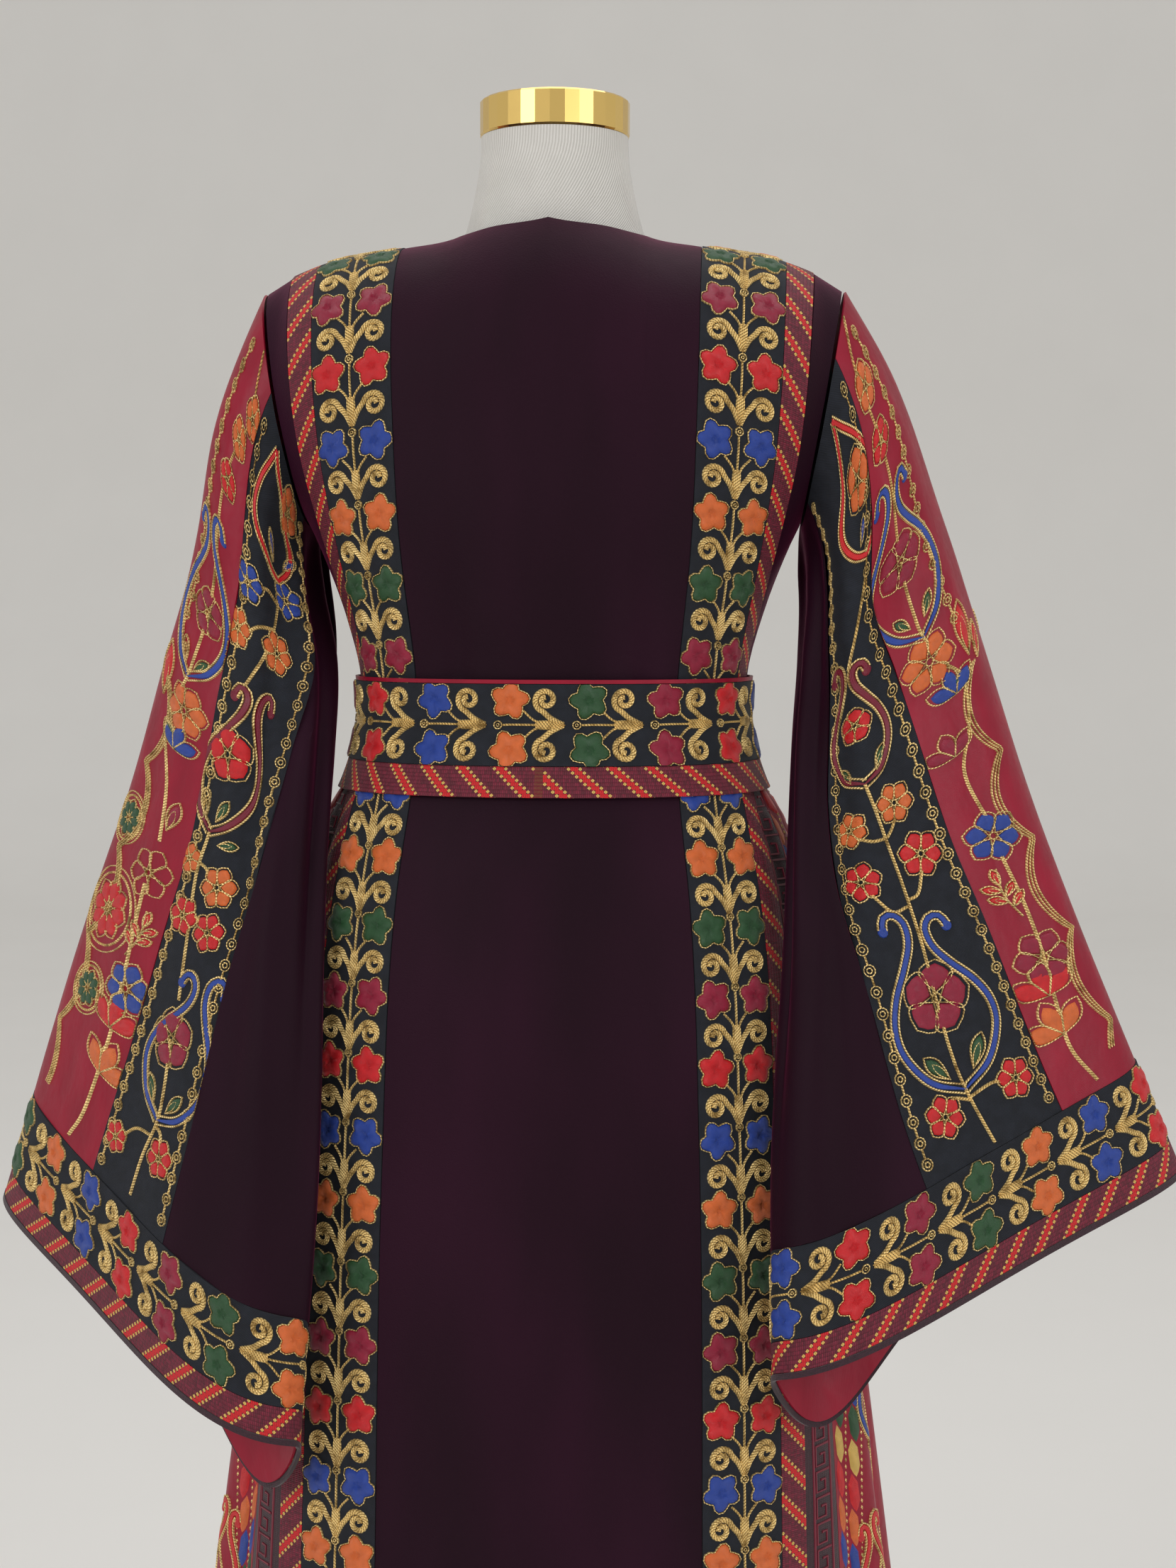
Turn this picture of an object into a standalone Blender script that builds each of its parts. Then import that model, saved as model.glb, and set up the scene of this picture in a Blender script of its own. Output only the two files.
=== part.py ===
"""A long embroidered dress with wide winged sleeves and a belt, on a limbless dress form and its stand.

Metres, +Z up, origin on the floor under the stand. The back of the dress faces -Y and its front +Y.
Every piece of cloth is a thin wall over a surface that the functions below work out from the tables,
and the pieces of one garment lie edge to edge with a narrow seam between them.
"""

import math

import bpy
import numpy as np

# Cloth and trims
CLOTH = 0.0016
TRIM = 0.0022
SEAM = 0.0004
BORDER_WIDTH = 0.058
TAPE_WIDTH = 0.020
BINDING_WIDTH = 0.004
BINDING_THICK = 0.0026
FACING_WIDTH = 0.050
FACING_GAP = 0.0006

# Heights of the dress
HEM_HEIGHT = 0.030
WAIST_HEIGHT = 1.066
BELT_FOOT = 1.028
BELT_TOP = 1.105
BELT_GAP = 0.0015
PIPING_WIDTH = 0.0026

# The dress round the body: half width, and depth behind and before the middle plane
# Columns: height, half width, back depth, front depth
BODY = (
    (0.020, 0.279, 0.206, 0.201),
    (0.250, 0.256, 0.190, 0.184),
    (0.460, 0.233, 0.174, 0.166),
    (0.620, 0.214, 0.162, 0.153),
    (0.780, 0.197, 0.151, 0.141),
    (0.930, 0.178, 0.139, 0.128),
    (1.000, 0.160, 0.124, 0.114),
    (1.035, 0.143, 0.110, 0.104),
    (1.066, 0.1340, 0.100, 0.098),
    (1.105, 0.1335, 0.098, 0.100),
    (1.150, 0.1450, 0.104, 0.116),
    (1.210, 0.1690, 0.112, 0.131),
    (1.290, 0.2120, 0.112, 0.122),
    (1.440, 0.2400, 0.104, 0.104),
)
BODY_ROUNDNESS = 2.3

# The shoulder line, from the middle of the neck out to the sleeve
# Columns: across, height
RIDGE = (
    (0.000, 1.428),
    (0.035, 1.419),
    (0.068, 1.404),
    (0.102, 1.398),
    (0.160, 1.387),
    (0.200, 1.369),
    (0.230, 1.348),
)
SHOULDER_RISE = 0.110
SHOULDER_ROUNDNESS = 2.3
STRAIGHT_SHARE = 0.60
STRAIGHT_ROWS = 5
SHOULDER_ROWS = 6

# The neckline, as a share of the way from waist to shoulder line at its lowest point
NECK_HALF = 0.068
NECK_LOW_BACK = 0.845
NECK_LOW_FRONT = 0.600
NECK_STEPS = (0.0, 0.30, 0.56, 0.76, 0.89, 0.96, 0.992, 1.0)

# Half width of the plain middle panel of the bodice, up to the border
# Columns: height, half width
MIDDLE = (
    (1.030, 0.0840),
    (1.066, 0.0845),
    (1.105, 0.0870),
    (1.191, 0.0955),
    (1.294, 0.1000),
    (1.400, 0.1020),
)

# Widths along the skirt's ring, from the middle of the back or the front to the side
# Columns: height, middle, border, tape, fret
SKIRT = (
    (0.020, 0.116, 0.058, 0.020, 0.034),
    (0.460, 0.109, 0.058, 0.020, 0.034),
    (0.800, 0.105, 0.058, 0.020, 0.034),
    (0.950, 0.099, 0.057, 0.020, 0.026),
    (1.030, 0.091, 0.053, 0.016, 0.012),
    (1.066, 0.089, 0.051, 0.015, 0.009),
)
SKIRT_HEIGHTS = (0.030, 0.160, 0.310, 0.460, 0.610, 0.740, 0.840, 0.915, 0.970, 1.008, 1.038, 1.0655)
SIDE_CELLS = 19

# Skirt folds: place on the half ring from back (0) to front (1), half width, and how far
# each stands out (or sinks, below 0) at the hem of the right and the left half
# Columns: place, half width, right, left
FOLDS = (
    (0.10, 0.060, 0.0030, 0.0020),
    (0.30, 0.035, 0.0040, 0.0050),
    (0.372, 0.020, -0.0060, -0.0080),
    (0.425, 0.024, 0.0120, 0.0130),
    (0.474, 0.017, -0.0080, -0.0060),
    (0.520, 0.022, 0.0140, 0.0110),
    (0.566, 0.016, -0.0070, -0.0090),
    (0.610, 0.024, 0.0120, 0.0140),
    (0.662, 0.020, -0.0080, -0.0060),
    (0.735, 0.036, 0.0050, 0.0040),
    (0.92, 0.060, 0.0030, 0.0040),
)

# Sleeves: the outer fold line, the inner fold line, and how far each layer stands off the
# plane between them. u runs round the sleeve from the outer fold over the back layer.
# Columns: down, outer x, outer y, outer z, inner x, inner y, inner z, back, front
RIGHT_SLEEVE = (
    (0.00, 0.1975, 0.000, 1.369, 0.1690, 0.000, 1.209, 0.060, 0.060),
    (0.12, 0.2340, -0.005, 1.300, 0.1760, -0.019, 1.166, 0.054, 0.052),
    (0.25, 0.2650, -0.010, 1.214, 0.1730, -0.032, 1.115, 0.048, 0.044),
    (0.40, 0.2900, -0.016, 1.140, 0.1680, -0.057, 1.055, 0.042, 0.038),
    (0.55, 0.3220, -0.024, 1.040, 0.1650, -0.084, 0.990, 0.038, 0.034),
    (0.70, 0.3520, -0.032, 0.958, 0.1620, -0.112, 0.915, 0.036, 0.030),
    (0.85, 0.3900, -0.041, 0.862, 0.1550, -0.145, 0.795, 0.036, 0.028),
    (1.00, 0.4280, -0.045, 0.770, 0.1560, -0.178, 0.662, 0.030, 0.026),
)
LEFT_SLEEVE = (
    (0.00, -0.1975, 0.000, 1.369, -0.1690, 0.000, 1.209, 0.060, 0.060),
    (0.12, -0.2240, -0.004, 1.298, -0.1690, -0.020, 1.164, 0.054, 0.055),
    (0.25, -0.2400, 0.000, 1.214, -0.1560, -0.038, 1.112, 0.048, 0.043),
    (0.40, -0.2640, 0.003, 1.126, -0.1520, -0.068, 1.050, 0.043, 0.032),
    (0.55, -0.2920, 0.007, 1.032, -0.1520, -0.100, 0.980, 0.040, 0.024),
    (0.70, -0.3200, 0.010, 0.952, -0.1510, -0.130, 0.900, 0.040, 0.018),
    (0.85, -0.3540, 0.015, 0.850, -0.1510, -0.156, 0.770, 0.042, 0.014),
    (1.00, -0.3920, 0.020, 0.728, -0.1600, -0.176, 0.612, 0.040, 0.014),
)
SLEEVE_ROWS = 10
# Edges of the sleeve's pieces, in u, at the armhole and at the hem
SLEEVE_PIECES = (
    # name, from u at the armhole, at the hem, to u at the armhole, at the hem, cells round, cloth
    ("satin", -0.130, -0.150, 0.130, 0.150, 8, "satin"),
    ("twill_back", 0.130, 0.150, 0.290, 0.300, 4, "twill"),
    ("gore", 0.290, 0.300, 0.710, 0.700, 12, "velvet"),
    ("twill_front", 0.710, 0.700, 0.870, 0.850, 4, "twill"),
)
HEM_POINT_AT = 0.63
HEM_POINT_SPREAD = 0.075
HEM_POINT_DROP = 0.060
HEM_WAVE = 0.006
ARMHOLE_GAP_TOP = 0.0022
ARMHOLE_GAP_FOOT = 0.0048

# Side panel round the armhole: the turn round it of the spoke to each share of the way up the tape
WAIST_SPOKES = 1
SPOKE_STEPS = (0.0, 0.25, 0.50, 0.74, 1.0)
# Columns: share, turn
SPOKES = (
    (0.00, 0.955),
    (0.12, 0.890),
    (0.38, 0.720),
    (0.62, 0.500),
    (0.90, 0.25),
    (1.00, 0.00),
)

# Dress form: hips up to the armholes, then the neck
# Columns: height, half width, back depth, front depth
FORM_HIPS = (
    (0.760, 0.148, 0.102, 0.092),
    (0.800, 0.156, 0.110, 0.098),
    (0.880, 0.163, 0.116, 0.100),
    (0.950, 0.156, 0.112, 0.096),
    (1.010, 0.132, 0.096, 0.090),
    (1.040, 0.124, 0.088, 0.086),
)
FORM_INSET = 0.009
FORM_SHOULDER_GAP = 0.0006
FORM_NECK_GAP = 0.0060
FORM_ROUNDNESS = 5.0
FORM_CELLS = 14
NECK = (
    (1.330, 0.0620, 0.0540, 0.0540),
    (1.390, 0.0655, 0.0550, 0.0560),
    (1.400, 0.0650, 0.0545, 0.0550),
    (1.409, 0.0622, 0.0530, 0.0535),
    (1.420, 0.0590, 0.0518, 0.0522),
    (1.440, 0.0545, 0.0508, 0.0510),
    (1.462, 0.0512, 0.0505, 0.0505),
    (1.4755, 0.0508, 0.0505, 0.0505),
)
NECK_CELLS = 26
CAP_RADIUS = 0.0518
CAP_FOOT = 1.4758
CAP_TOP = 1.5000
CAP_BEVEL = 0.0012
POLE_RADIUS = 0.014
BASE_RADIUS = 0.155
BASE_RIM = 0.006
BASE_TOP = 0.014

COLOURS = {
    # colour, roughness, metallic
    "velvet": ((0.035, 0.006, 0.022), 0.75, 0.0),
    "twill": ((0.008, 0.011, 0.016), 0.80, 0.0),
    "satin": ((0.330, 0.012, 0.035), 0.40, 0.0),
    "tape": ((0.230, 0.012, 0.045), 0.80, 0.0),
    "fret": ((0.090, 0.010, 0.025), 0.85, 0.0),
    "binding": ((0.030, 0.006, 0.014), 0.70, 0.0),
    "form_cloth": ((0.780, 0.760, 0.700), 0.85, 0.0),
    "cap_metal": ((0.830, 0.600, 0.180), 0.18, 1.0),
    "stand_metal": ((0.600, 0.590, 0.560), 0.35, 1.0),
}


def smooth(table, column, at):
    """A smooth curve through one column of a table, read at the given values of its first column."""
    rows = np.array(table, float)
    knots, values = rows[:, 0], rows[:, column]
    slopes = np.gradient(values, knots)
    at = np.clip(np.asarray(at, float), knots[0], knots[-1])
    i = np.clip(np.searchsorted(knots, at, side="right") - 1, 0, len(knots) - 2)
    span = knots[i + 1] - knots[i]
    t = (at - knots[i]) / span
    lead = (2 * t**3 - 3 * t**2 + 1) * values[i] + (t**3 - 2 * t**2 + t) * span * slopes[i]
    return lead + (-2 * t**3 + 3 * t**2) * values[i + 1] + (t**3 - t**2) * span * slopes[i + 1]


def rounded(x, half, power):
    """A superellipse's height over x, as a share of its full depth."""
    share = np.clip(np.abs(x) / half, 0, 1)
    return (1 - share**power) ** (1 / power)


def bodice_rows():
    """Shares of the way from the waist up to the shoulder line: even below, then by angle over the top."""
    below = np.linspace(0, STRAIGHT_SHARE, STRAIGHT_ROWS + 1)
    above = np.linspace(STRAIGHT_SHARE, 1, SHOULDER_ROWS + 1)[1:]
    return np.concatenate([below, above])


def bodice_point(x, way):
    """The bodice over x. way runs from the waist at the back (0) over the ridge (1) to the front waist (2)."""
    x, way = np.broadcast_arrays(np.asarray(x, float), np.asarray(way, float))
    front = way > 1
    share = np.where(front, 2 - way, way)
    foot = smooth(RIDGE, 1, np.abs(x)) - SHOULDER_RISE
    turn = np.clip((share - STRAIGHT_SHARE) / (1 - STRAIGHT_SHARE), 0, 1) * math.pi / 2
    power = 2 / SHOULDER_ROUNDNESS
    straight = WAIST_HEIGHT + (foot - WAIST_HEIGHT) * np.minimum(share / STRAIGHT_SHARE, 1)
    z = straight + SHOULDER_RISE * np.sin(turn) ** power
    depth = np.where(front, smooth(BODY, 3, z), smooth(BODY, 2, z))
    depth = depth * rounded(x, smooth(BODY, 1, z), BODY_ROUNDNESS)
    depth = depth * np.clip(np.cos(turn), 0, 1) ** power
    return np.stack([x, np.where(front, depth, -depth), z], axis=-1)


def middle_edge(way):
    """Half width of the bodice's middle panel at a place on the way over the shoulder."""
    return float(smooth(MIDDLE, 1, bodice_point(0.095, way)[2]))


def across_from(edge, width, way):
    """The x that lies a given width of cloth outside the edge, measured along the row."""
    xs = edge + np.linspace(0, 1.6 * width + 0.004, 80)
    half = float(smooth(BODY, 1, bodice_point(edge, way)[2]))
    xs = xs[xs < half * 0.9995]
    points = bodice_point(xs, way)
    run = np.concatenate([[0], np.cumsum(np.linalg.norm(np.diff(points, axis=0), axis=1))])
    return float(np.interp(width, run, xs))


def normals(place, a, b, middle, step=0.0006):
    """Unit normals of a surface by differences over both of its parameters, turned away from the middle."""
    over_a = place(a + step, b) - place(a - step, b)
    over_b = place(a, b + step) - place(a, b - step)
    n = np.cross(over_a, over_b)
    n = n / np.maximum(np.linalg.norm(n, axis=-1, keepdims=True), 1e-12)
    return n * np.where(np.sum(n * (place(a, b) - middle), axis=-1, keepdims=True) < 0, -1.0, 1.0)


def flat(n):
    """The same normals laid level."""
    n = n * np.array([1.0, 1.0, 0.0])
    return n / np.linalg.norm(n, axis=-1, keepdims=True)


def finish_object(name, points, faces, material):
    """Makes the object, with its faces turned outwards."""
    corners = [np.array([points[i] for i in f]) for f in faces]
    volume = sum(
        np.dot(c[0], np.cross(c[k], c[k + 1])) for c in corners for k in range(1, len(c) - 1)
    )
    if volume < 0:
        faces = [tuple(reversed(f)) for f in faces]
    mesh = bpy.data.meshes.new(name)
    mesh.from_pydata([tuple(p) for p in points], [], [tuple(int(i) for i in f) for f in faces])
    mesh.materials.append(MATERIALS[material])
    mesh.shade_smooth()
    mesh.set_sharp_from_angle(angle=math.radians(40))
    obj = bpy.data.objects.new(name, mesh)
    bpy.context.scene.collection.objects.link(obj)
    return obj


def wall(name, grid, n, thickness, material, closed=False, lift=0.0):
    """A wall of cloth: the grid is its inner face, and it grows along the normals n.

    Both faces are split along the same, shorter diagonals, so that they stay parallel where the cloth twists.
    """
    rows, cols = grid.shape[:2]
    count = rows * cols
    points = np.concatenate([(grid + n * lift).reshape(-1, 3), (grid + n * (lift + thickness)).reshape(-1, 3)])
    faces = []
    last = cols if closed else cols - 1
    for r in range(rows - 1):
        for c in range(last):
            d = (c + 1) % cols
            here, beside = r * cols + c, r * cols + d
            beyond, below = (r + 1) * cols + d, (r + 1) * cols + c
            if math.dist(points[here], points[beyond]) < math.dist(points[beside], points[below]):
                halves = ((here, beside, beyond), (here, beyond, below))
            else:
                halves = ((here, beside, below), (beside, beyond, below))
            for face in halves:
                faces.append(face)
                faces.append(tuple(count + i for i in reversed(face)))
    for c in range(last):
        d = (c + 1) % cols
        faces.append((d, c, count + c, count + d))
        top = (rows - 1) * cols
        faces.append((top + c, top + d, count + top + d, count + top + c))
    if not closed:
        for r in range(rows - 1):
            a, b = r * cols, (r + 1) * cols
            faces.append((a, b, count + b, count + a))
            a, b = a + cols - 1, b + cols - 1
            faces.append((b, a, count + a, count + b))
    return finish_object(name, points, faces, material)


def body_middle(grid):
    """Points on the middle of the body beside each point of a grid."""
    middle = grid.copy()
    middle[..., 0] *= 0.6
    middle[..., 1] = 0
    middle[..., 2] = np.minimum(grid[..., 2], 1.27)
    return middle


def bodice_wall(name, xs, ways, thickness, material):
    """A piece of the bodice over a grid of x and of the way over the shoulder."""
    grid = bodice_point(xs, ways)
    n = normals(bodice_point, xs, ways, body_middle(grid))
    n[np.minimum(ways, 2 - ways) < 1e-6] = flat(n[np.minimum(ways, 2 - ways) < 1e-6])
    return wall(name, grid, n, thickness, material)


def bodice_middle(front):
    """The plain panel of the bodice between the borders, with its neckline."""
    outer = np.array([NECK_HALF * s for s in NECK_STEPS] + [0.5 * (NECK_HALF + 0.102), 0.102]) / 0.102
    steps = np.concatenate([-outer[:0:-1], outer])
    neck = np.clip(np.abs(steps) * 0.102 / NECK_HALF, 0, 1)
    low = NECK_LOW_FRONT if front else NECK_LOW_BACK
    top = 1 - (1 - low) * np.sqrt(1 - neck**2)
    ways = np.minimum(bodice_rows()[:, None] * top, 1 - SEAM)
    ways = 2 - ways if front else ways
    halves = np.array([[middle_edge(way) for way in row] for row in ways]) - SEAM / 2
    bodice_wall("bodice_front" if front else "bodice_back", steps * halves, ways, CLOTH, "velvet")


def over_shoulder(name, side, first, last, cells, thickness, material):
    """A band from the waist at the back over the shoulder to the waist at the front, between two widths."""
    shares = bodice_rows()
    ways = np.concatenate([shares, 2 - shares[-2::-1]])
    widths = np.linspace(first, last, cells + 1)
    xs = np.array([[across_from(middle_edge(way), w, way) for w in widths] for way in ways])
    bodice_wall(name, side * xs, np.repeat(ways[:, None], cells + 1, axis=1), thickness, material)


def on_side(y, z, front):
    """How far out the body's side lies at a height and a distance from the middle plane."""
    depth = smooth(BODY, 3 if front else 2, z)
    return smooth(BODY, 1, z) * rounded(y, depth, BODY_ROUNDNESS)


def sleeve_line(table, down):
    """Outer fold, inner fold and the two layers' heights at a share of the way down the sleeve."""
    cols = [smooth(table, k, down) for k in range(1, 9)]
    outer, inner = np.stack(cols[0:3], -1), np.stack(cols[3:6], -1)
    return outer, inner, cols[6], cols[7]


def sleeve_point(table, u, down):
    """The sleeve at u round it and a share of the way down, with the point and wave of its hem."""
    u, down = np.broadcast_arrays(np.asarray(u, float), np.asarray(down, float))
    outer, inner, back, front = sleeve_line(table, down)
    chord = outer - inner
    away = np.stack([chord[..., 1], -chord[..., 0], np.zeros_like(down)], -1)
    away = away / np.linalg.norm(away, axis=-1, keepdims=True)
    away = away * np.where(away[..., 1:2] > 0, -1.0, 1.0)
    angle = 2 * math.pi * u
    off = np.where(np.sin(angle) > 0, back, front) * np.sin(angle)
    point = (outer + inner) / 2 + chord / 2 * np.cos(angle)[..., None] + away * off[..., None]
    around = (u - HEM_POINT_AT + 0.5) % 1.0 - 0.5
    drop = HEM_POINT_DROP * np.exp(-((around / HEM_POINT_SPREAD) ** 2)) * down**6
    wave = HEM_WAVE * np.sin(3 * angle + 0.6) * down**3
    point[..., 2] -= drop
    return point + away * wave[..., None]


def down_from_hem(table, us, distance):
    """For each column, the share of the way down that lies a distance of cloth above the hem."""
    shares = np.linspace(0, 1, 161)
    found = []
    for u in us:
        line = sleeve_point(table, np.full(len(shares), u), shares)
        run = np.concatenate([[0], np.cumsum(np.linalg.norm(np.diff(line, axis=0), axis=1))])
        found.append(np.interp(run[-1] - distance, run, shares))
    return np.array(found)


def sleeve_wall(name, table, us, downs, thickness, material, closed=False, lift=0.0):
    """A piece of the sleeve over a grid of turns round it and of the way down."""

    def place(u, down):
        return sleeve_point(table, u, down)

    outer, inner, _, _ = sleeve_line(table, downs)
    grid = place(us, downs)
    n = normals(place, us, downs, (outer + inner) / 2)
    gap = ARMHOLE_GAP_TOP + (ARMHOLE_GAP_FOOT - ARMHOLE_GAP_TOP) * (1 - np.cos(2 * math.pi * us)) / 2
    grid[..., 0] += np.sign(outer[..., 0]) * gap * np.clip(1 - downs / 0.12, 0, 1)
    wall(name, grid, n, thickness, material, closed=closed, lift=lift)


def sleeve(side_name, table):
    """The sleeve's four panels, the two trims round its hem, their binding and the facing inside."""
    trim = BORDER_WIDTH + TAPE_WIDTH + BINDING_WIDTH
    parts = np.linspace(0, 1, SLEEVE_ROWS + 1)[:, None]
    turn = 0.8 * SEAM / (0.45 + 0.25 * parts)
    for name, from_top, from_hem, to_top, to_hem, cells, material in SLEEVE_PIECES:
        share = np.linspace(0, 1, cells + 1)
        low = from_top + (from_hem - from_top) * parts + turn
        high = to_top + (to_hem - to_top) * parts - turn
        end = down_from_hem(table, from_hem + (to_hem - from_hem) * share, trim + SEAM)
        sleeve_wall(f"sleeve_{name}_{side_name}", table, low + (high - low) * share, end * parts, CLOTH, material)
    us = np.concatenate([np.linspace(piece[2], piece[4], piece[5], endpoint=False) for piece in SLEEVE_PIECES])
    bands = (
        ("border", trim, TAPE_WIDTH + BINDING_WIDTH + SEAM, 2, TRIM, "twill", 0.0),
        ("tape", TAPE_WIDTH + BINDING_WIDTH, BINDING_WIDTH + SEAM, 1, TRIM, "tape", 0.0),
        ("binding", BINDING_WIDTH, 0.0, 1, BINDING_THICK, "binding", 0.0),
        ("facing", FACING_WIDTH, BINDING_WIDTH, 2, CLOTH, "satin", -(CLOTH + FACING_GAP)),
    )
    for name, top, foot, cells, thick, material, lift in bands:
        downs = np.array([down_from_hem(table, us, d) for d in np.linspace(top, foot, cells + 1)])
        grid_us = np.repeat(us[None, :], cells + 1, axis=0)
        sleeve_wall(f"cuff_{name}_{side_name}", table, grid_us, downs, thick, material, True, lift)


def armhole_panel(side_name, table):
    """The side panel: spokes run from the armhole out to the tape's edge and down to the waist."""
    side = 1.0 if side_name == "right" else -1.0
    reach = BORDER_WIDTH + TAPE_WIDTH + 1.2 * SEAM
    shares = bodice_rows()
    at_waist = np.arange(1, WAIST_SPOKES + 1) / (WAIST_SPOKES + 1)
    rims = [(2 - share, 1 - float(smooth(SPOKES, 1, share)) / 2, 1.0) for share in shares]
    rims += [(share, float(smooth(SPOKES, 1, share)) / 2, 1.0) for share in shares[-2::-1]]
    foot_turn = SPOKES[0][1]
    for part in 2 * at_waist - 1:
        turn = 1 - (1 - foot_turn) * abs(part)
        rims.append((0.0 if part < 0 else 2.0, turn / 2 if part < 0 else 1 - turn / 2, abs(part)))
    spokes, rim_normals = [], []
    for way, u, out in rims:
        front = way > 1
        inner = sleeve_point(table, u, 0.0)
        x = side * across_from(middle_edge(way), reach, way)
        outer = bodice_point(x, way)
        n = normals(bodice_point, np.array(x), np.array(way), body_middle(outer))
        if out < 1:
            outer[1] *= out
            outer[0] = side * on_side(outer[1], WAIST_HEIGHT, front)
            n = outer - np.array([side * 0.06, 0.0, 0.0])
        rim_normals.append(flat(n) if min(way, 2 - way) < 1e-6 else n)
        points = inner + (outer - inner) * np.array(SPOKE_STEPS)[:, None]
        low = np.clip((1.235 - points[:, 2]) / 0.03, 0, 1)
        surface = side * on_side(points[:, 1], points[:, 2], front)
        points[1:-1, 0] += (low * (surface - points[:, 0]))[1:-1]
        spokes.append(points)
    grid = np.swapaxes(np.array(spokes), 0, 1)
    around = np.roll(grid, -1, axis=1) - np.roll(grid, 1, axis=1)
    n = np.cross(around, np.gradient(grid, axis=0))
    n /= np.linalg.norm(n, axis=-1, keepdims=True)
    n *= np.where(np.sum(n * (grid - body_middle(grid)), axis=-1, keepdims=True) < 0, -1.0, 1.0)
    n[-1] = np.array(rim_normals)
    wall(f"bodice_side_{side_name}", grid, n, CLOTH, "velvet", closed=True)


def skirt_ring(z, samples=721):
    """The skirt's half ring from the middle of the back to the middle of the front, without folds."""
    angle = np.linspace(-math.pi / 2, math.pi / 2, samples)
    half = smooth(BODY, 1, z)
    depth = np.where(angle > 0, smooth(BODY, 3, z), smooth(BODY, 2, z))
    power = 2 / BODY_ROUNDNESS
    x = half * np.abs(np.cos(angle)) ** power
    y = depth * np.sign(np.sin(angle)) * np.abs(np.sin(angle)) ** power
    x[0] = x[-1] = 0.0
    ring = np.stack([x, y, np.full(samples, z)], -1)
    run = np.concatenate([[0], np.cumsum(np.linalg.norm(np.diff(ring, axis=0), axis=1))])
    return ring, run


def fold_height(place, z, column):
    """How far the cloth stands out at a place on the half ring: each fold a soft ridge or trough."""
    fall = np.clip((WAIST_HEIGHT - z) / (WAIST_HEIGHT - HEM_HEIGHT), 0, 1)
    strength = 0.10 + 0.90 * fall**0.8
    total = 0 * place
    for row in FOLDS:
        total = total + row[column] * np.exp(-(((place - row[0]) / row[1]) ** 2))
    return total * strength * np.clip(fall * 8, 0, 1)


def skirt_point(run_at, z):
    """The skirt at a signed distance along its ring from the middle of the back, to the right or, below 0, left."""
    run_at, z = np.broadcast_arrays(np.asarray(run_at, float), np.asarray(z, float))
    points = np.zeros(run_at.shape + (3,))
    for r in range(len(points)):
        ring, run = skirt_ring(z[r, 0])
        side = np.where(run_at[r] < 0, -1.0, 1.0)
        far = np.abs(run_at[r])
        at, ahead, behind = (
            np.stack([np.interp(far + d, run, ring[:, i]) for i in range(3)], -1) for d in (0, 0.001, -0.001)
        )
        along = ahead - behind
        out = np.stack([along[:, 1], -along[:, 0], 0 * far], -1)
        out /= np.linalg.norm(out, axis=-1, keepdims=True)
        place = far / run[-1]
        height = np.where(side > 0, fold_height(place, z[r, 0], 2), fold_height(place, z[r, 0], 3))
        points[r] = at + out * height[:, None]
        points[r, :, 0] *= side
    return points


def skirt_edges(z):
    """Where each piece of the skirt starts and ends on the half ring at a height."""
    widths = [float(smooth(SKIRT, k, z)) for k in range(1, 5)]
    total = skirt_ring(z)[1][-1]
    return np.concatenate([[0], np.cumsum(widths)]), total


def skirt_wall(name, runs, thickness, material):
    """A piece of the skirt over a grid of distances along its rings."""
    zs = np.repeat(np.array(SKIRT_HEIGHTS)[:, None], runs.shape[1], axis=1)
    grid = skirt_point(runs, zs)
    n = normals(skirt_point, runs, zs, body_middle(grid))
    n[0], n[-1] = flat(n[0]), flat(n[-1])
    wall(name, grid, n, thickness, material)


def skirt_piece(name, side, first, last, cells, thickness, material):
    """A piece of the skirt between two edges, where an edge counts from the back or, below 0, the front."""
    runs = []
    for z in SKIRT_HEIGHTS:
        marks, total = skirt_edges(z)
        ends = [marks[k] if k >= 0 else total - marks[-k - 1] for k in (first, last)]
        runs.append(side * np.linspace(ends[0] + SEAM / 2, ends[1] - SEAM / 2, cells + 1))
    skirt_wall(name, np.array(runs), thickness, material)


def skirt_middle(front):
    """The plain middle panel of the skirt, across both halves of the ring."""
    runs = []
    for z in SKIRT_HEIGHTS:
        marks, total = skirt_edges(z)
        half = np.linspace(1e-5, marks[1] - SEAM / 2, 7)
        half = total - half if front else half
        runs.append(np.concatenate([-half[:0:-1], half]))
    skirt_wall("skirt_front" if front else "skirt_back", np.array(runs), CLOTH, "velvet")


def skirt():
    skirt_middle(False)
    skirt_middle(True)
    trims = (("border", 4, TRIM, "twill"), ("tape", 1, TRIM, "tape"), ("fret", 2, CLOTH, "fret"))
    for side_name, side in (("right", 1.0), ("left", -1.0)):
        for k, (name, cells, thick, material) in enumerate(trims):
            skirt_piece(f"skirt_{name}_back_{side_name}", side, k + 1, k + 2, cells, thick, material)
            skirt_piece(f"skirt_{name}_front_{side_name}", side, -(k + 3), -(k + 2), cells, thick, material)
        skirt_piece(f"skirt_side_{side_name}", side, 4, -5, SIDE_CELLS, CLOTH, "satin")


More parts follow.
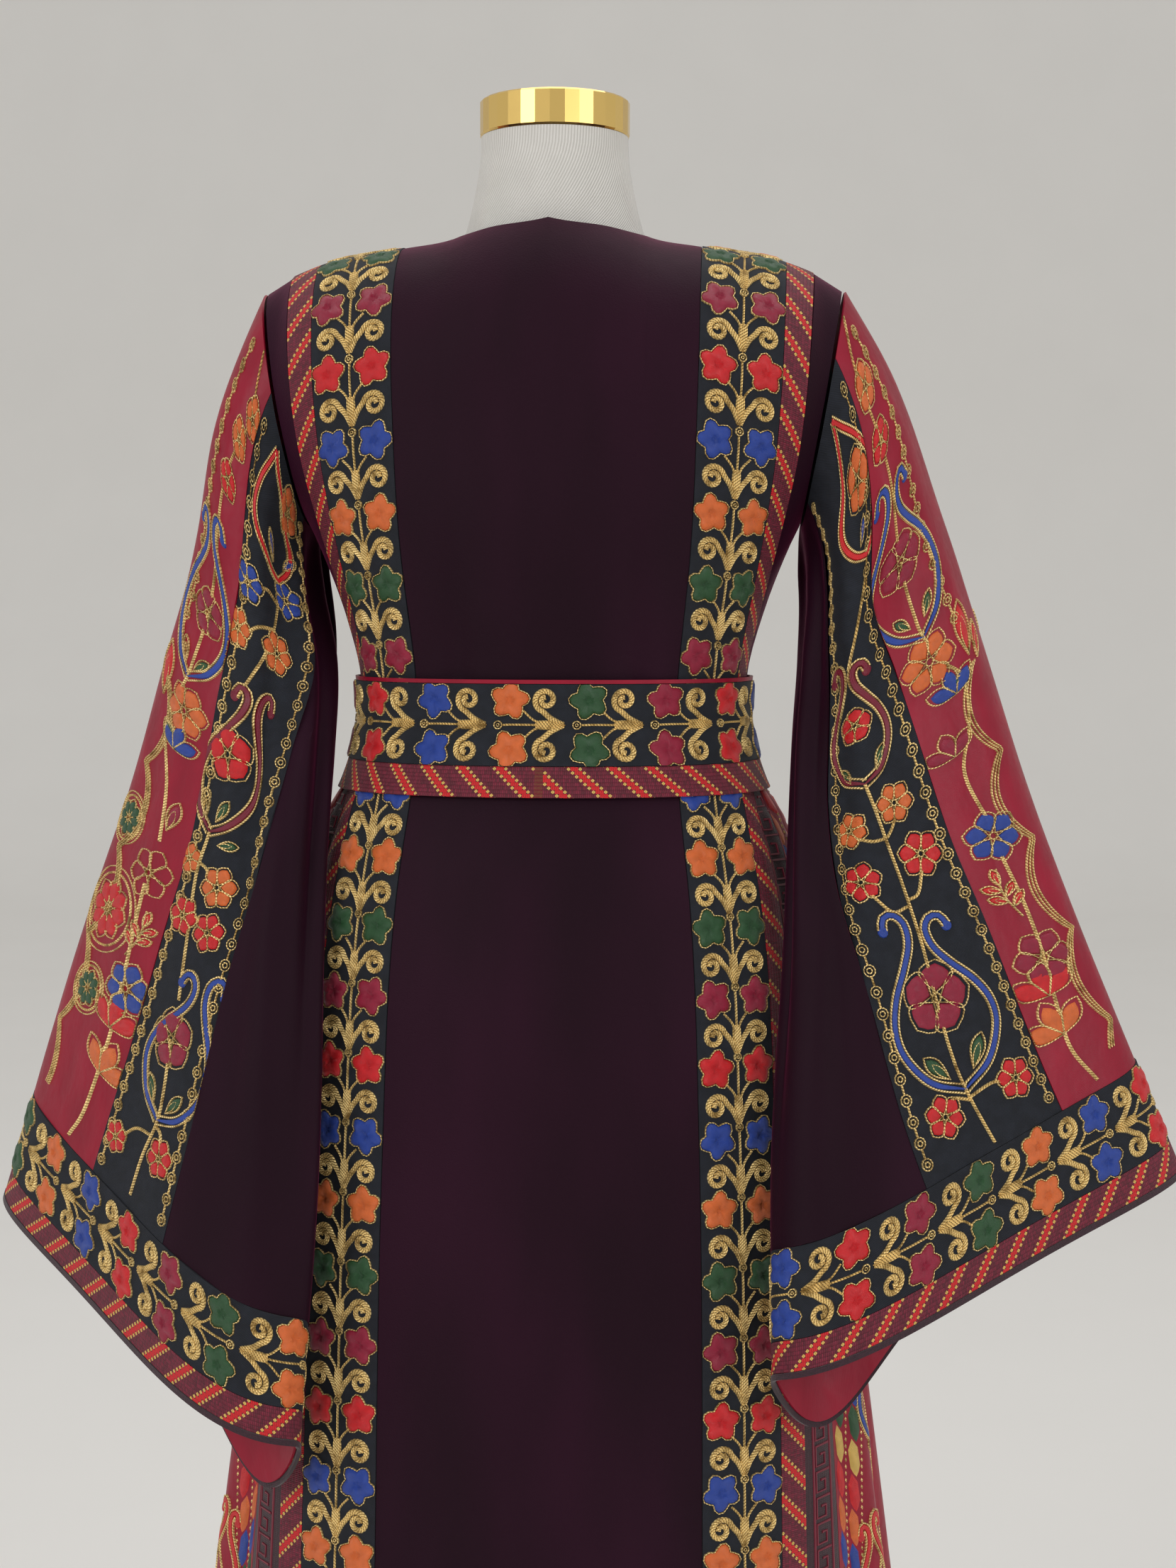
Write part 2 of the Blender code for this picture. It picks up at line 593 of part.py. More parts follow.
def belt():
    """The belt round the waist: a border above a woven tape, with a piping along the top edge."""
    tape_top = BELT_FOOT + TAPE_WIDTH
    bands = (
        ("belt_tape", BELT_FOOT, tape_top, 1, TRIM, "tape"),
        ("belt_border", tape_top + SEAM, BELT_TOP - PIPING_WIDTH - SEAM, 2, TRIM, "twill"),
        ("belt_piping", BELT_TOP - PIPING_WIDTH, BELT_TOP, 1, TRIM, "satin"),
    )
    for name, foot, top, cells, thick, material in bands:
        grid = []
        for z in np.linspace(foot, top, cells + 1):
            ring, run = skirt_ring(z)
            at = np.linspace(0, run[-1], 31)
            half = np.stack([np.interp(at, run, ring[:, i]) for i in range(3)], -1)
            grid.append(np.concatenate([half, half[-2:0:-1] * np.array([-1.0, 1.0, 1.0])]))
        grid = np.array(grid)
        around = np.roll(grid, -1, axis=1) - np.roll(grid, 1, axis=1)
        n = flat(np.stack([around[..., 1], -around[..., 0], 0 * around[..., 0]], -1))
        wall(name, grid, n, thick, material, closed=True, lift=TRIM + BELT_GAP)


def loops_object(name, loops, material):
    """A closed solid through rings of points, with flat ends, where points that meet are merged."""
    points = np.concatenate(loops)
    cols = len(loops[0])
    faces = [
        (r * cols + c, r * cols + (c + 1) % cols, (r + 1) * cols + (c + 1) % cols, (r + 1) * cols + c)
        for r in range(len(loops) - 1)
        for c in range(cols)
    ]
    faces.append(tuple(reversed(range(cols))))
    _, first, place = np.unique(np.round(points, 6), axis=0, return_index=True, return_inverse=True)
    place = place.reshape(-1)
    merged = []
    for face in faces:
        kept = []
        for i in (int(place[i]) for i in face):
            if i not in kept:
                kept.append(i)
        if len(kept) > 2:
            merged.append(tuple(kept))
    if len({int(i) for i in place[-cols:]}) == cols:
        merged.append(tuple(int(i) for i in place[-cols:]))
    return finish_object(name, points[first], merged, material)


def form_torso():
    """The form from its hips up to the shoulder line, which the bodice rests on."""
    angle = np.linspace(-math.pi, 0, FORM_CELLS + 1)
    across = np.cos(angle)
    loops = []
    for z, half, back, front in FORM_HIPS:
        depth = np.abs(np.sin(angle)) ** (2 / BODY_ROUNDNESS)
        x = half * np.sign(across) * np.abs(across) ** (2 / BODY_ROUNDNESS)
        back_side = np.stack([x, -back * depth, np.full(len(x), z)], -1)
        front_side = np.stack([x, front * depth, np.full(len(x), z)], -1)
        loops.append(np.concatenate([back_side, front_side[-2:0:-1]]))
    for share in bodice_rows():
        turn = max(0.0, (share - STRAIGHT_SHARE) / (1 - STRAIGHT_SHARE)) * math.pi / 2
        inset = FORM_INSET * math.cos(turn) + 0.003 * math.sin(turn)
        halves = []
        for front in (False, True):
            way = 2 - share if front else share
            reach = across_from(middle_edge(way), BORDER_WIDTH + TAPE_WIDTH, way) - 0.002
            full = float(smooth(BODY, 1, bodice_point(0.1, way)[2]))
            half = min(reach, full - 0.010, 0.166) if share > 0.45 else full - 0.011
            x = half * np.sign(across) * np.abs(across) ** 0.8
            cloth = bodice_point(x, way)
            plate = rounded(x, half, FORM_ROUNDNESS)
            depth = np.maximum(np.abs(cloth[:, 1]) - inset, 0) * plate
            low = FORM_SHOULDER_GAP + FORM_NECK_GAP * np.clip(1.5 - np.abs(x) / 0.075, 0, 1)
            halves.append(np.stack([x, depth if front else -depth, cloth[:, 2] - low], -1))
        back_side, front_side = halves
        x = np.minimum(np.abs(back_side[:, 0]), np.abs(front_side[:, 0])) * np.sign(across)
        back_side[:, 0] = front_side[:, 0] = x
        ends = (back_side[[0, -1]] + front_side[[0, -1]]) / 2
        back_side[[0, -1]] = ends
        loops.append(np.concatenate([back_side, front_side[-2:0:-1]]))
    return loops_object("form_torso", loops, "form_cloth")


def form_neck():
    """The neck, which flares out under the neckline."""
    angle = np.linspace(0, 2 * math.pi, NECK_CELLS, endpoint=False)
    loops = []
    for z, half, back, front in NECK:
        depth = np.where(np.sin(angle) < 0, back, front)
        loops.append(np.stack([half * np.cos(angle), depth * np.sin(angle), np.full(NECK_CELLS, z)], -1))
    return loops_object("form_neck_shape", loops, "form_cloth")


def turned(name, profile, cells, material):
    """A solid turned round the middle line from (radius, height) pairs, outer side from foot to top."""
    angle = np.linspace(0, 2 * math.pi, cells, endpoint=False)
    loops = [
        np.stack([r * np.cos(angle), r * np.sin(angle), np.full(cells, z)], -1) for r, z in profile
    ]
    return loops_object(name, loops, material)


def dress_form():
    torso = form_torso()
    neck = form_neck()
    join = torso.modifiers.new("join neck", "BOOLEAN")
    join.operation = "UNION"
    join.solver = "EXACT"
    join.object = neck
    neck.hide_render = True
    neck.display_type = "WIRE"
    turned(
        "form_cap",
        (
            (CAP_RADIUS - CAP_BEVEL, CAP_FOOT),
            (CAP_RADIUS, CAP_FOOT + CAP_BEVEL),
            (CAP_RADIUS, CAP_TOP - CAP_BEVEL),
            (CAP_RADIUS - CAP_BEVEL, CAP_TOP),
        ),
        32,
        "cap_metal",
    )
    hip_foot = FORM_HIPS[0][0]
    turned(
        "stand_pole",
        ((POLE_RADIUS, BASE_TOP + SEAM), (POLE_RADIUS, hip_foot - SEAM)),
        16,
        "stand_metal",
    )
    turned(
        "stand_base",
        (
            (BASE_RADIUS - 0.002, 0.0),
            (BASE_RADIUS, 0.002),
            (BASE_RADIUS, BASE_RIM),
            (BASE_RADIUS - 0.004, BASE_RIM + 0.002),
            (POLE_RADIUS * 2.2, BASE_TOP),
        ),
        32,
        "stand_metal",
    )


def make_materials():
    made = {}
    for name, (colour, roughness, metallic) in COLOURS.items():
        material = bpy.data.materials.new(name)
        material.use_nodes = True
        shader = material.node_tree.nodes["Principled BSDF"]
        shader.inputs["Base Color"].default_value = (*colour, 1.0)
        shader.inputs["Roughness"].default_value = roughness
        shader.inputs["Metallic"].default_value = metallic
        made[name] = material
    return made


def main():
    bodice_middle(False)
    bodice_middle(True)
    for side_name, side, table in (("right", 1.0, RIGHT_SLEEVE), ("left", -1.0, LEFT_SLEEVE)):
        over_shoulder(
            f"bodice_border_{side_name}", side, SEAM / 2, BORDER_WIDTH - SEAM / 2, 4, TRIM, "twill"
        )
        over_shoulder(
            f"bodice_tape_{side_name}", side, BORDER_WIDTH + SEAM / 2,
            BORDER_WIDTH + TAPE_WIDTH - SEAM / 2, 1, TRIM, "tape",
        )
        armhole_panel(side_name, table)
        sleeve(side_name, table)
    skirt()
    belt()
    dress_form()


for old in list(bpy.data.objects):
    bpy.data.objects.remove(old)
MATERIALS = make_materials()
main()
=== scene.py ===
"""Cloth, embroidery, dress form and studio of a long velvet dress with couched flower borders.

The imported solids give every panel's place. Each panel here is the same surface worked out more finely,
and the embroidery is drawn flat, in metres across and along its panel, and then laid on the cloth.
"""

import math

import bpy
import numpy as np
from bpy.props import FloatProperty, FloatVectorProperty, PointerProperty
from mathutils import Matrix, Vector


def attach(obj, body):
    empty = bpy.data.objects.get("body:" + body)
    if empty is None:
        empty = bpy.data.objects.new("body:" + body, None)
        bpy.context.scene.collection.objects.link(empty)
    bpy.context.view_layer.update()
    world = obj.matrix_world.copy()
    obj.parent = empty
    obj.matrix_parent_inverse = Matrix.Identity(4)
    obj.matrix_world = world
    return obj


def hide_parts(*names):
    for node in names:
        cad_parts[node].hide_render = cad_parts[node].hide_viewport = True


bl_info = {
    "name": "Embroidered velvet dress",
    "version": (1, 0, 0),
    "blender": (4, 5, 0),
    "location": "3D View > Sidebar > Dress",
    "description": "Makes a velvet dress with couched flower borders on a dress form",
    "category": "Add Mesh",
}

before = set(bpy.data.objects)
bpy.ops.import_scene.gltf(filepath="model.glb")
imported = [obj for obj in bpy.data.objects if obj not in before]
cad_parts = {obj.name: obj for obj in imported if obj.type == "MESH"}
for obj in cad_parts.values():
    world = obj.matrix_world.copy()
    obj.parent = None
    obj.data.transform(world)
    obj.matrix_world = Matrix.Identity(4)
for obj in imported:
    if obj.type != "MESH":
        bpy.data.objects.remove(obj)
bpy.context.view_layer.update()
BODY_NAME = "root"
FINISH_PREFIX = "dress_"

# Sizes of the dress, as its solids have them, in metres
CLOTH = 0.0016
TRIM = 0.0022
SEAM = 0.0004
BORDER_WIDTH = 0.058
TAPE_WIDTH = 0.020
BINDING_WIDTH = 0.004
BINDING_THICK = 0.0026
FACING_WIDTH = 0.050
FACING_GAP = 0.0006
HEM_HEIGHT = 0.030
WAIST_HEIGHT = 1.066
SKIRT_TOP = 1.0655
BELT_FOOT = 1.028
BELT_TOP = 1.105
BELT_GAP = 0.0015
BELT_TAPE_TOP = 1.0480
BELT_BORDER_TOP = 1.1020
BODY_ROUNDNESS = 2.3
SHOULDER_RISE = 0.110
SHOULDER_ROUNDNESS = 2.3
STRAIGHT_SHARE = 0.60
NECK_HALF = 0.068
NECK_LOW_BACK = 0.845
NECK_LOW_FRONT = 0.600
HEM_POINT_AT = 0.63
HEM_POINT_SPREAD = 0.075
HEM_POINT_DROP = 0.060
HEM_WAVE = 0.006
ARMHOLE_GAP_TOP = 0.0022
ARMHOLE_GAP_FOOT = 0.0048

# Columns: height, half width, back depth, front depth
BODY = (
    (0.020, 0.279, 0.206, 0.201),
    (0.250, 0.256, 0.190, 0.184),
    (0.460, 0.233, 0.174, 0.166),
    (0.620, 0.214, 0.162, 0.153),
    (0.780, 0.197, 0.151, 0.141),
    (0.930, 0.178, 0.139, 0.128),
    (1.000, 0.160, 0.124, 0.114),
    (1.035, 0.143, 0.110, 0.104),
    (1.066, 0.1340, 0.100, 0.098),
    (1.105, 0.1335, 0.098, 0.100),
    (1.150, 0.1450, 0.104, 0.116),
    (1.210, 0.1690, 0.112, 0.131),
    (1.290, 0.2120, 0.112, 0.122),
    (1.440, 0.2400, 0.104, 0.104),
)
# Columns: across, height
RIDGE = (
    (0.000, 1.428),
    (0.035, 1.419),
    (0.068, 1.404),
    (0.102, 1.398),
    (0.160, 1.387),
    (0.200, 1.369),
    (0.230, 1.348),
)
# Columns: height, half width
MIDDLE = (
    (1.030, 0.0840),
    (1.066, 0.0845),
    (1.105, 0.0870),
    (1.191, 0.0955),
    (1.294, 0.1000),
    (1.400, 0.1020),
)
# Columns: height, middle, border, tape, fret
SKIRT = (
    (0.020, 0.116, 0.058, 0.020, 0.034),
    (0.460, 0.109, 0.058, 0.020, 0.034),
    (0.800, 0.105, 0.058, 0.020, 0.034),
    (0.950, 0.099, 0.057, 0.020, 0.026),
    (1.030, 0.091, 0.053, 0.016, 0.012),
    (1.066, 0.089, 0.051, 0.015, 0.009),
)
# Columns: place, half width, right, left
FOLDS = (
    (0.10, 0.060, 0.0030, 0.0020),
    (0.30, 0.035, 0.0040, 0.0050),
    (0.372, 0.020, -0.0060, -0.0080),
    (0.425, 0.024, 0.0120, 0.0130),
    (0.474, 0.017, -0.0080, -0.0060),
    (0.520, 0.022, 0.0140, 0.0110),
    (0.566, 0.016, -0.0070, -0.0090),
    (0.610, 0.024, 0.0120, 0.0140),
    (0.662, 0.020, -0.0080, -0.0060),
    (0.735, 0.036, 0.0050, 0.0040),
    (0.92, 0.060, 0.0030, 0.0040),
)
# Columns: down, outer x, outer y, outer z, inner x, inner y, inner z, back, front
RIGHT_SLEEVE = (
    (0.00, 0.1975, 0.000, 1.369, 0.1690, 0.000, 1.209, 0.060, 0.060),
    (0.12, 0.2340, -0.005, 1.300, 0.1760, -0.019, 1.166, 0.054, 0.052),
    (0.25, 0.2650, -0.010, 1.214, 0.1730, -0.032, 1.115, 0.048, 0.044),
    (0.40, 0.2900, -0.016, 1.140, 0.1680, -0.057, 1.055, 0.042, 0.038),
    (0.55, 0.3220, -0.024, 1.040, 0.1650, -0.084, 0.990, 0.038, 0.034),
    (0.70, 0.3520, -0.032, 0.958, 0.1620, -0.112, 0.915, 0.036, 0.030),
    (0.85, 0.3900, -0.041, 0.862, 0.1550, -0.145, 0.795, 0.036, 0.028),
    (1.00, 0.4280, -0.045, 0.770, 0.1560, -0.178, 0.662, 0.030, 0.026),
)
LEFT_SLEEVE = (
    (0.00, -0.1975, 0.000, 1.369, -0.1690, 0.000, 1.209, 0.060, 0.060),
    (0.12, -0.2240, -0.004, 1.298, -0.1690, -0.020, 1.164, 0.054, 0.055),
    (0.25, -0.2400, 0.000, 1.214, -0.1560, -0.038, 1.112, 0.048, 0.043),
    (0.40, -0.2640, 0.003, 1.126, -0.1520, -0.068, 1.050, 0.043, 0.032),
    (0.55, -0.2920, 0.007, 1.032, -0.1520, -0.100, 0.980, 0.040, 0.024),
    (0.70, -0.3200, 0.010, 0.952, -0.1510, -0.130, 0.900, 0.040, 0.018),
    (0.85, -0.3540, 0.015, 0.850, -0.1510, -0.156, 0.770, 0.042, 0.014),
    (1.00, -0.3920, 0.020, 0.728, -0.1600, -0.176, 0.612, 0.040, 0.014),
)
SLEEVES = {"right": RIGHT_SLEEVE, "left": LEFT_SLEEVE}
SIDES = {"right": 1.0, "left": -1.0}
# Edges of the sleeve's panels, in u, down to the cuff's border
SLEEVE_EDGES = {
    # Columns: share of the way down, satin's edge, gore's edge
    "right": (
        (0.00, 0.190, 0.400),
        (0.14, 0.262, 0.410),
        (0.25, 0.290, 0.400),
        (0.41, 0.268, 0.395),
        (0.55, 0.247, 0.400),
        (0.69, 0.228, 0.385),
        (0.83, 0.203, 0.347),
        (1.00, 0.175, 0.305),
    ),
    "left": (
        (0.00, 0.235, 0.440),
        (0.14, 0.285, 0.460),
        (0.29, 0.270, 0.445),
        (0.46, 0.268, 0.408),
        (0.63, 0.266, 0.378),
        (0.80, 0.245, 0.344),
        (1.00, 0.210, 0.307),
    ),
}
# The same on the front layer, counted back from the outer fold
FRONT_EDGES = (
    (0.00, 0.160, 0.340),
    (0.50, 0.175, 0.320),
    (1.00, 0.175, 0.305),
)
# Edges count as in the tables' columns, and below 0 they lie on the front layer
SLEEVE_PIECES = (
    # name, first edge, last edge, cells round, cloth
    ("satin", -1, 1, 44, "satin"),
    ("twill_back", 1, 2, 22, "twill"),
    ("gore", 2, -2, 40, "velvet"),
    ("twill_front", -2, -1, 22, "twill"),
)
# Columns: share, turn
SPOKES = (
    (0.00, 0.955),
    (0.12, 0.890),
    (0.38, 0.720),
    (0.62, 0.500),
    (0.90, 0.250),
    (1.00, 0.000),
)

PANEL_ROWS = 72
NARROWEST_SHEET = 0.010

# Dress form
# Columns: height, half width, back depth, front depth
FORM_HIPS = (
    (0.760, 0.148, 0.102, 0.092),
    (0.800, 0.156, 0.110, 0.098),
    (0.880, 0.163, 0.116, 0.100),
    (0.950, 0.156, 0.112, 0.096),
    (1.010, 0.132, 0.096, 0.090),
    (1.040, 0.124, 0.088, 0.086),
)
FORM_INSET = 0.009
FORM_SHOULDER_GAP = 0.0006
FORM_NECK_GAP = 0.0060
FORM_ROUNDNESS = 5.0
NECK = (
    (1.330, 0.0620, 0.0540, 0.0540),
    (1.390, 0.0655, 0.0550, 0.0560),
    (1.400, 0.0650, 0.0545, 0.0550),
    (1.409, 0.0622, 0.0530, 0.0535),
    (1.420, 0.0590, 0.0518, 0.0522),
    (1.440, 0.0545, 0.0508, 0.0510),
    (1.462, 0.0512, 0.0505, 0.0505),
    (1.4755, 0.0508, 0.0505, 0.0505),
)

# Camera, as worked out from the photograph
VIEW_DISTANCE = 1.650
VIEW_YAW = math.radians(3.0)
VIEW_PITCH = math.radians(4.43)
VIEW_ROLL = math.radians(0.10)
VIEW_SHIFT = 0.0237
VIEW_HEIGHT = 1.156
LENS_MM = 53.8

# Room, in metres: its half size, where the backdrop starts to bend, the bend's radius and its top
ROOM_REACH = 12.0
BACKDROP_AT = 7.0
BACKDROP_BEND = 2.0
BACKDROP_TOP = 11.0

# Border repeat, in metres: the ring is at 0 and the plant's foot points along the border
REPEAT = 0.0509
BODICE_REPEAT = 0.0480
LAST_RING = 0.0618
SKIRT_REPEAT = 0.0462
SKIRT_REPEATS = 21
BELT_REPEATS = 15
VINE_REPEAT = 0.130
VINE_INSET = 0.055
FLOWER_RADIUS = 0.0134
FLOWER_ACROSS = 0.0165
FLOWER_ALONG = 0.0078
VOLUTE_ACROSS = 0.0168
VOLUTE_ALONG = 0.0318
VOLUTE_RADIUS = 0.0083
CORD = 0.0011
BORDER_COLOURS = ("crimson", "red", "blue", "orange", "green")


# Surfaces


def smooth(table, column, at):
    """A smooth curve through one column of a table, read at the given values of its first column."""
    rows = np.array(table, float)
    knots, values = rows[:, 0], rows[:, column]
    slopes = np.gradient(values, knots)
    at = np.clip(np.asarray(at, float), knots[0], knots[-1])
    i = np.clip(np.searchsorted(knots, at, side="right") - 1, 0, len(knots) - 2)
    span = knots[i + 1] - knots[i]
    t = (at - knots[i]) / span
    lead = (2 * t**3 - 3 * t**2 + 1) * values[i] + (t**3 - 2 * t**2 + t) * span * slopes[i]
    return lead + (-2 * t**3 + 3 * t**2) * values[i + 1] + (t**3 - t**2) * span * slopes[i + 1]


def rounded(x, half, power):
    """A superellipse's height over x, as a share of its full depth: (1 - |x/half|^p)^(1/p)."""
    share = np.clip(np.abs(x) / half, 0, 1)
    return (1 - share**power) ** (1 / power)


def bump(x, middle, half):
    """A soft ridge: exp(-((x - middle) / half)^2)."""
    return np.exp(-(((x - middle) / half) ** 2))


def bodice_point(x, way):
    """The bodice over x and the way over the shoulder: upright below, a superellipse arch over the top."""
    x, way = np.broadcast_arrays(np.asarray(x, float), np.asarray(way, float))
    front = way > 1
    share = np.where(front, 2 - way, way)
    foot = smooth(RIDGE, 1, np.abs(x)) - SHOULDER_RISE
    turn = np.clip((share - STRAIGHT_SHARE) / (1 - STRAIGHT_SHARE), 0, 1) * math.pi / 2
    power = 2 / SHOULDER_ROUNDNESS
    straight = WAIST_HEIGHT + (foot - WAIST_HEIGHT) * np.minimum(share / STRAIGHT_SHARE, 1)
    z = straight + SHOULDER_RISE * np.sin(turn) ** power
    depth = np.where(front, smooth(BODY, 3, z), smooth(BODY, 2, z))
    depth = depth * rounded(x, smooth(BODY, 1, z), BODY_ROUNDNESS)
    depth = depth * np.clip(np.cos(turn), 0, 1) ** power
    return np.stack([x, np.where(front, depth, -depth), z], axis=-1)


def middle_edge(way):
    """Half width of the bodice's middle panel at a place on the way over the shoulder."""
    return float(smooth(MIDDLE, 1, bodice_point(0.095, way)[2]))


def across_from(edge, width, way):
    """The x that lies a given width of cloth outside the edge, measured along the row."""
    xs = edge + np.linspace(0, 1.6 * width + 0.004, 80)
    half = float(smooth(BODY, 1, bodice_point(edge, way)[2]))
    xs = xs[xs < half * 0.9995]
    points = bodice_point(xs, way)
    run = np.concatenate([[0], np.cumsum(np.linalg.norm(np.diff(points, axis=0), axis=1))])
    return float(np.interp(width, run, xs))


def bodice_ways(count):
    """Places on the way up to the shoulder line: even below, then by angle over the top."""
    below = np.linspace(0, STRAIGHT_SHARE, count)
    return np.concatenate([below, np.linspace(STRAIGHT_SHARE, 1, count)[1:]])


def on_side(y, z, front):
    """How far out the body's side lies at a height and a distance from the middle plane."""
    depth = smooth(BODY, 3 if front else 2, z)
    return smooth(BODY, 1, z) * rounded(y, depth, BODY_ROUNDNESS)


def skirt_ring(z, samples=721):
    """Half of the skirt's ring, a superellipse by angle from the middle of the back to that of the front."""
    angle = np.linspace(-math.pi / 2, math.pi / 2, samples)
    half = smooth(BODY, 1, z)
    depth = np.where(angle > 0, smooth(BODY, 3, z), smooth(BODY, 2, z))
    power = 2 / BODY_ROUNDNESS
    x = half * np.abs(np.cos(angle)) ** power
    y = depth * np.sign(np.sin(angle)) * np.abs(np.sin(angle)) ** power
    x[0] = x[-1] = 0.0
    ring = np.stack([x, y, np.full(samples, z)], -1)
    run = np.concatenate([[0], np.cumsum(np.linalg.norm(np.diff(ring, axis=0), axis=1))])
    return ring, run


def fold_height(place, z, column):
    """How far the skirt stands out: a sum of soft ridges and troughs that grow towards the hem."""
    fall = np.clip((WAIST_HEIGHT - z) / (WAIST_HEIGHT - HEM_HEIGHT), 0, 1)
    strength = 0.10 + 0.90 * fall**0.8
    total = 0 * place
    for row in FOLDS:
        total = total + row[column] * bump(place, row[0], row[1])
    return total * strength * np.clip(fall * 8, 0, 1)


def gathers(place, z):
    """Small gathers under the belt at the skirt's sides, which fade over the hips, and soft long waves."""
    below = np.clip((BELT_FOOT - z) / 0.02, 0, 1) * np.exp(-np.clip(BELT_FOOT - z, 0, 9) / 0.13)
    sides = bump(place, 0.52, 0.17)
    small = 0.0032 * np.sin(2 * math.pi * 21 * place + 1.3 * np.sin(9 * place)) * below * sides
    long = 0.0012 * np.sin(2 * math.pi * 5.5 * place + 0.8) * np.clip((BELT_FOOT - z) / 0.2, 0, 1)
    return small + long


def skirt_point(run_at, z):
    """The skirt at a signed distance round its ring from the middle of the back, with folds and gathers."""
    run_at, z = np.broadcast_arrays(np.asarray(run_at, float), np.asarray(z, float))
    points = np.zeros(run_at.shape + (3,))
    for r in range(len(points)):
        ring, run = skirt_ring(z[r, 0])
        side = np.where(run_at[r] < 0, -1.0, 1.0)
        far = np.abs(run_at[r])
        at, ahead, behind = (
            np.stack([np.interp(far + d, run, ring[:, i]) for i in range(3)], -1) for d in (0, 0.001, -0.001)
        )
        along = ahead - behind
        out = np.stack([along[:, 1], -along[:, 0], 0 * far], -1)
        out /= np.linalg.norm(out, axis=-1, keepdims=True)
        place = far / run[-1]
        height = np.where(side > 0, fold_height(place, z[r, 0], 2), fold_height(place, z[r, 0], 3))
        height = height + gathers(place, z[r, 0])
        points[r] = at + out * height[:, None]
        points[r, :, 0] *= side
    return points


def sleeve_line(table, down):
    """Outer fold, inner fold and the two layers' heights at a share of the way down the sleeve."""
    cols = [smooth(table, k, down) for k in range(1, 9)]
    return np.stack(cols[0:3], -1), np.stack(cols[3:6], -1), cols[6], cols[7]


def sleeve_point(table, u, down):
    """The sleeve at u round it: an ellipse between its two fold lines, with the hem's point and wave."""
    u, down = np.broadcast_arrays(np.asarray(u, float), np.asarray(down, float))
    outer, inner, back, front = sleeve_line(table, down)
    chord = outer - inner
    away = np.stack([chord[..., 1], -chord[..., 0], np.zeros_like(down)], -1)
    away = away / np.linalg.norm(away, axis=-1, keepdims=True)
    away = away * np.where(away[..., 1:2] > 0, -1.0, 1.0)
    angle = 2 * math.pi * u
    off = np.where(np.sin(angle) > 0, back, front) * np.sin(angle)
    point = (outer + inner) / 2 + chord / 2 * np.cos(angle)[..., None] + away * off[..., None]
    around = (u - HEM_POINT_AT + 0.5) % 1.0 - 0.5
    drop = HEM_POINT_DROP * np.exp(-((around / HEM_POINT_SPREAD) ** 2)) * down**6
    wave = HEM_WAVE * np.sin(3 * angle + 0.6) * down**3
    point[..., 2] -= drop
    point = point + away * wave[..., None]
    gap = ARMHOLE_GAP_TOP + (ARMHOLE_GAP_FOOT - ARMHOLE_GAP_TOP) * (1 - np.cos(angle)) / 2
    point[..., 0] += np.sign(outer[..., 0]) * gap * np.clip(1 - down / 0.12, 0, 1)
    return point


def down_from_hem(table, us, distance):
    """For each column, the share of the way down that lies a distance of cloth above the hem."""
    shares = np.linspace(0, 1, 161)
    found = []
    for u in us:
        line = sleeve_point(table, np.full(len(shares), u), shares)
        run = np.concatenate([[0], np.cumsum(np.linalg.norm(np.diff(line, axis=0), axis=1))])
        found.append(np.interp(run[-1] - distance, run, shares))
    return np.array(found)


def body_middle(grid):
    """Points on the middle of the body beside each point of a grid."""
    middle = grid.copy()
    middle[..., 0] *= 0.6
    middle[..., 1] = 0
    middle[..., 2] = np.minimum(grid[..., 2], 1.27)
    return middle


# Panels


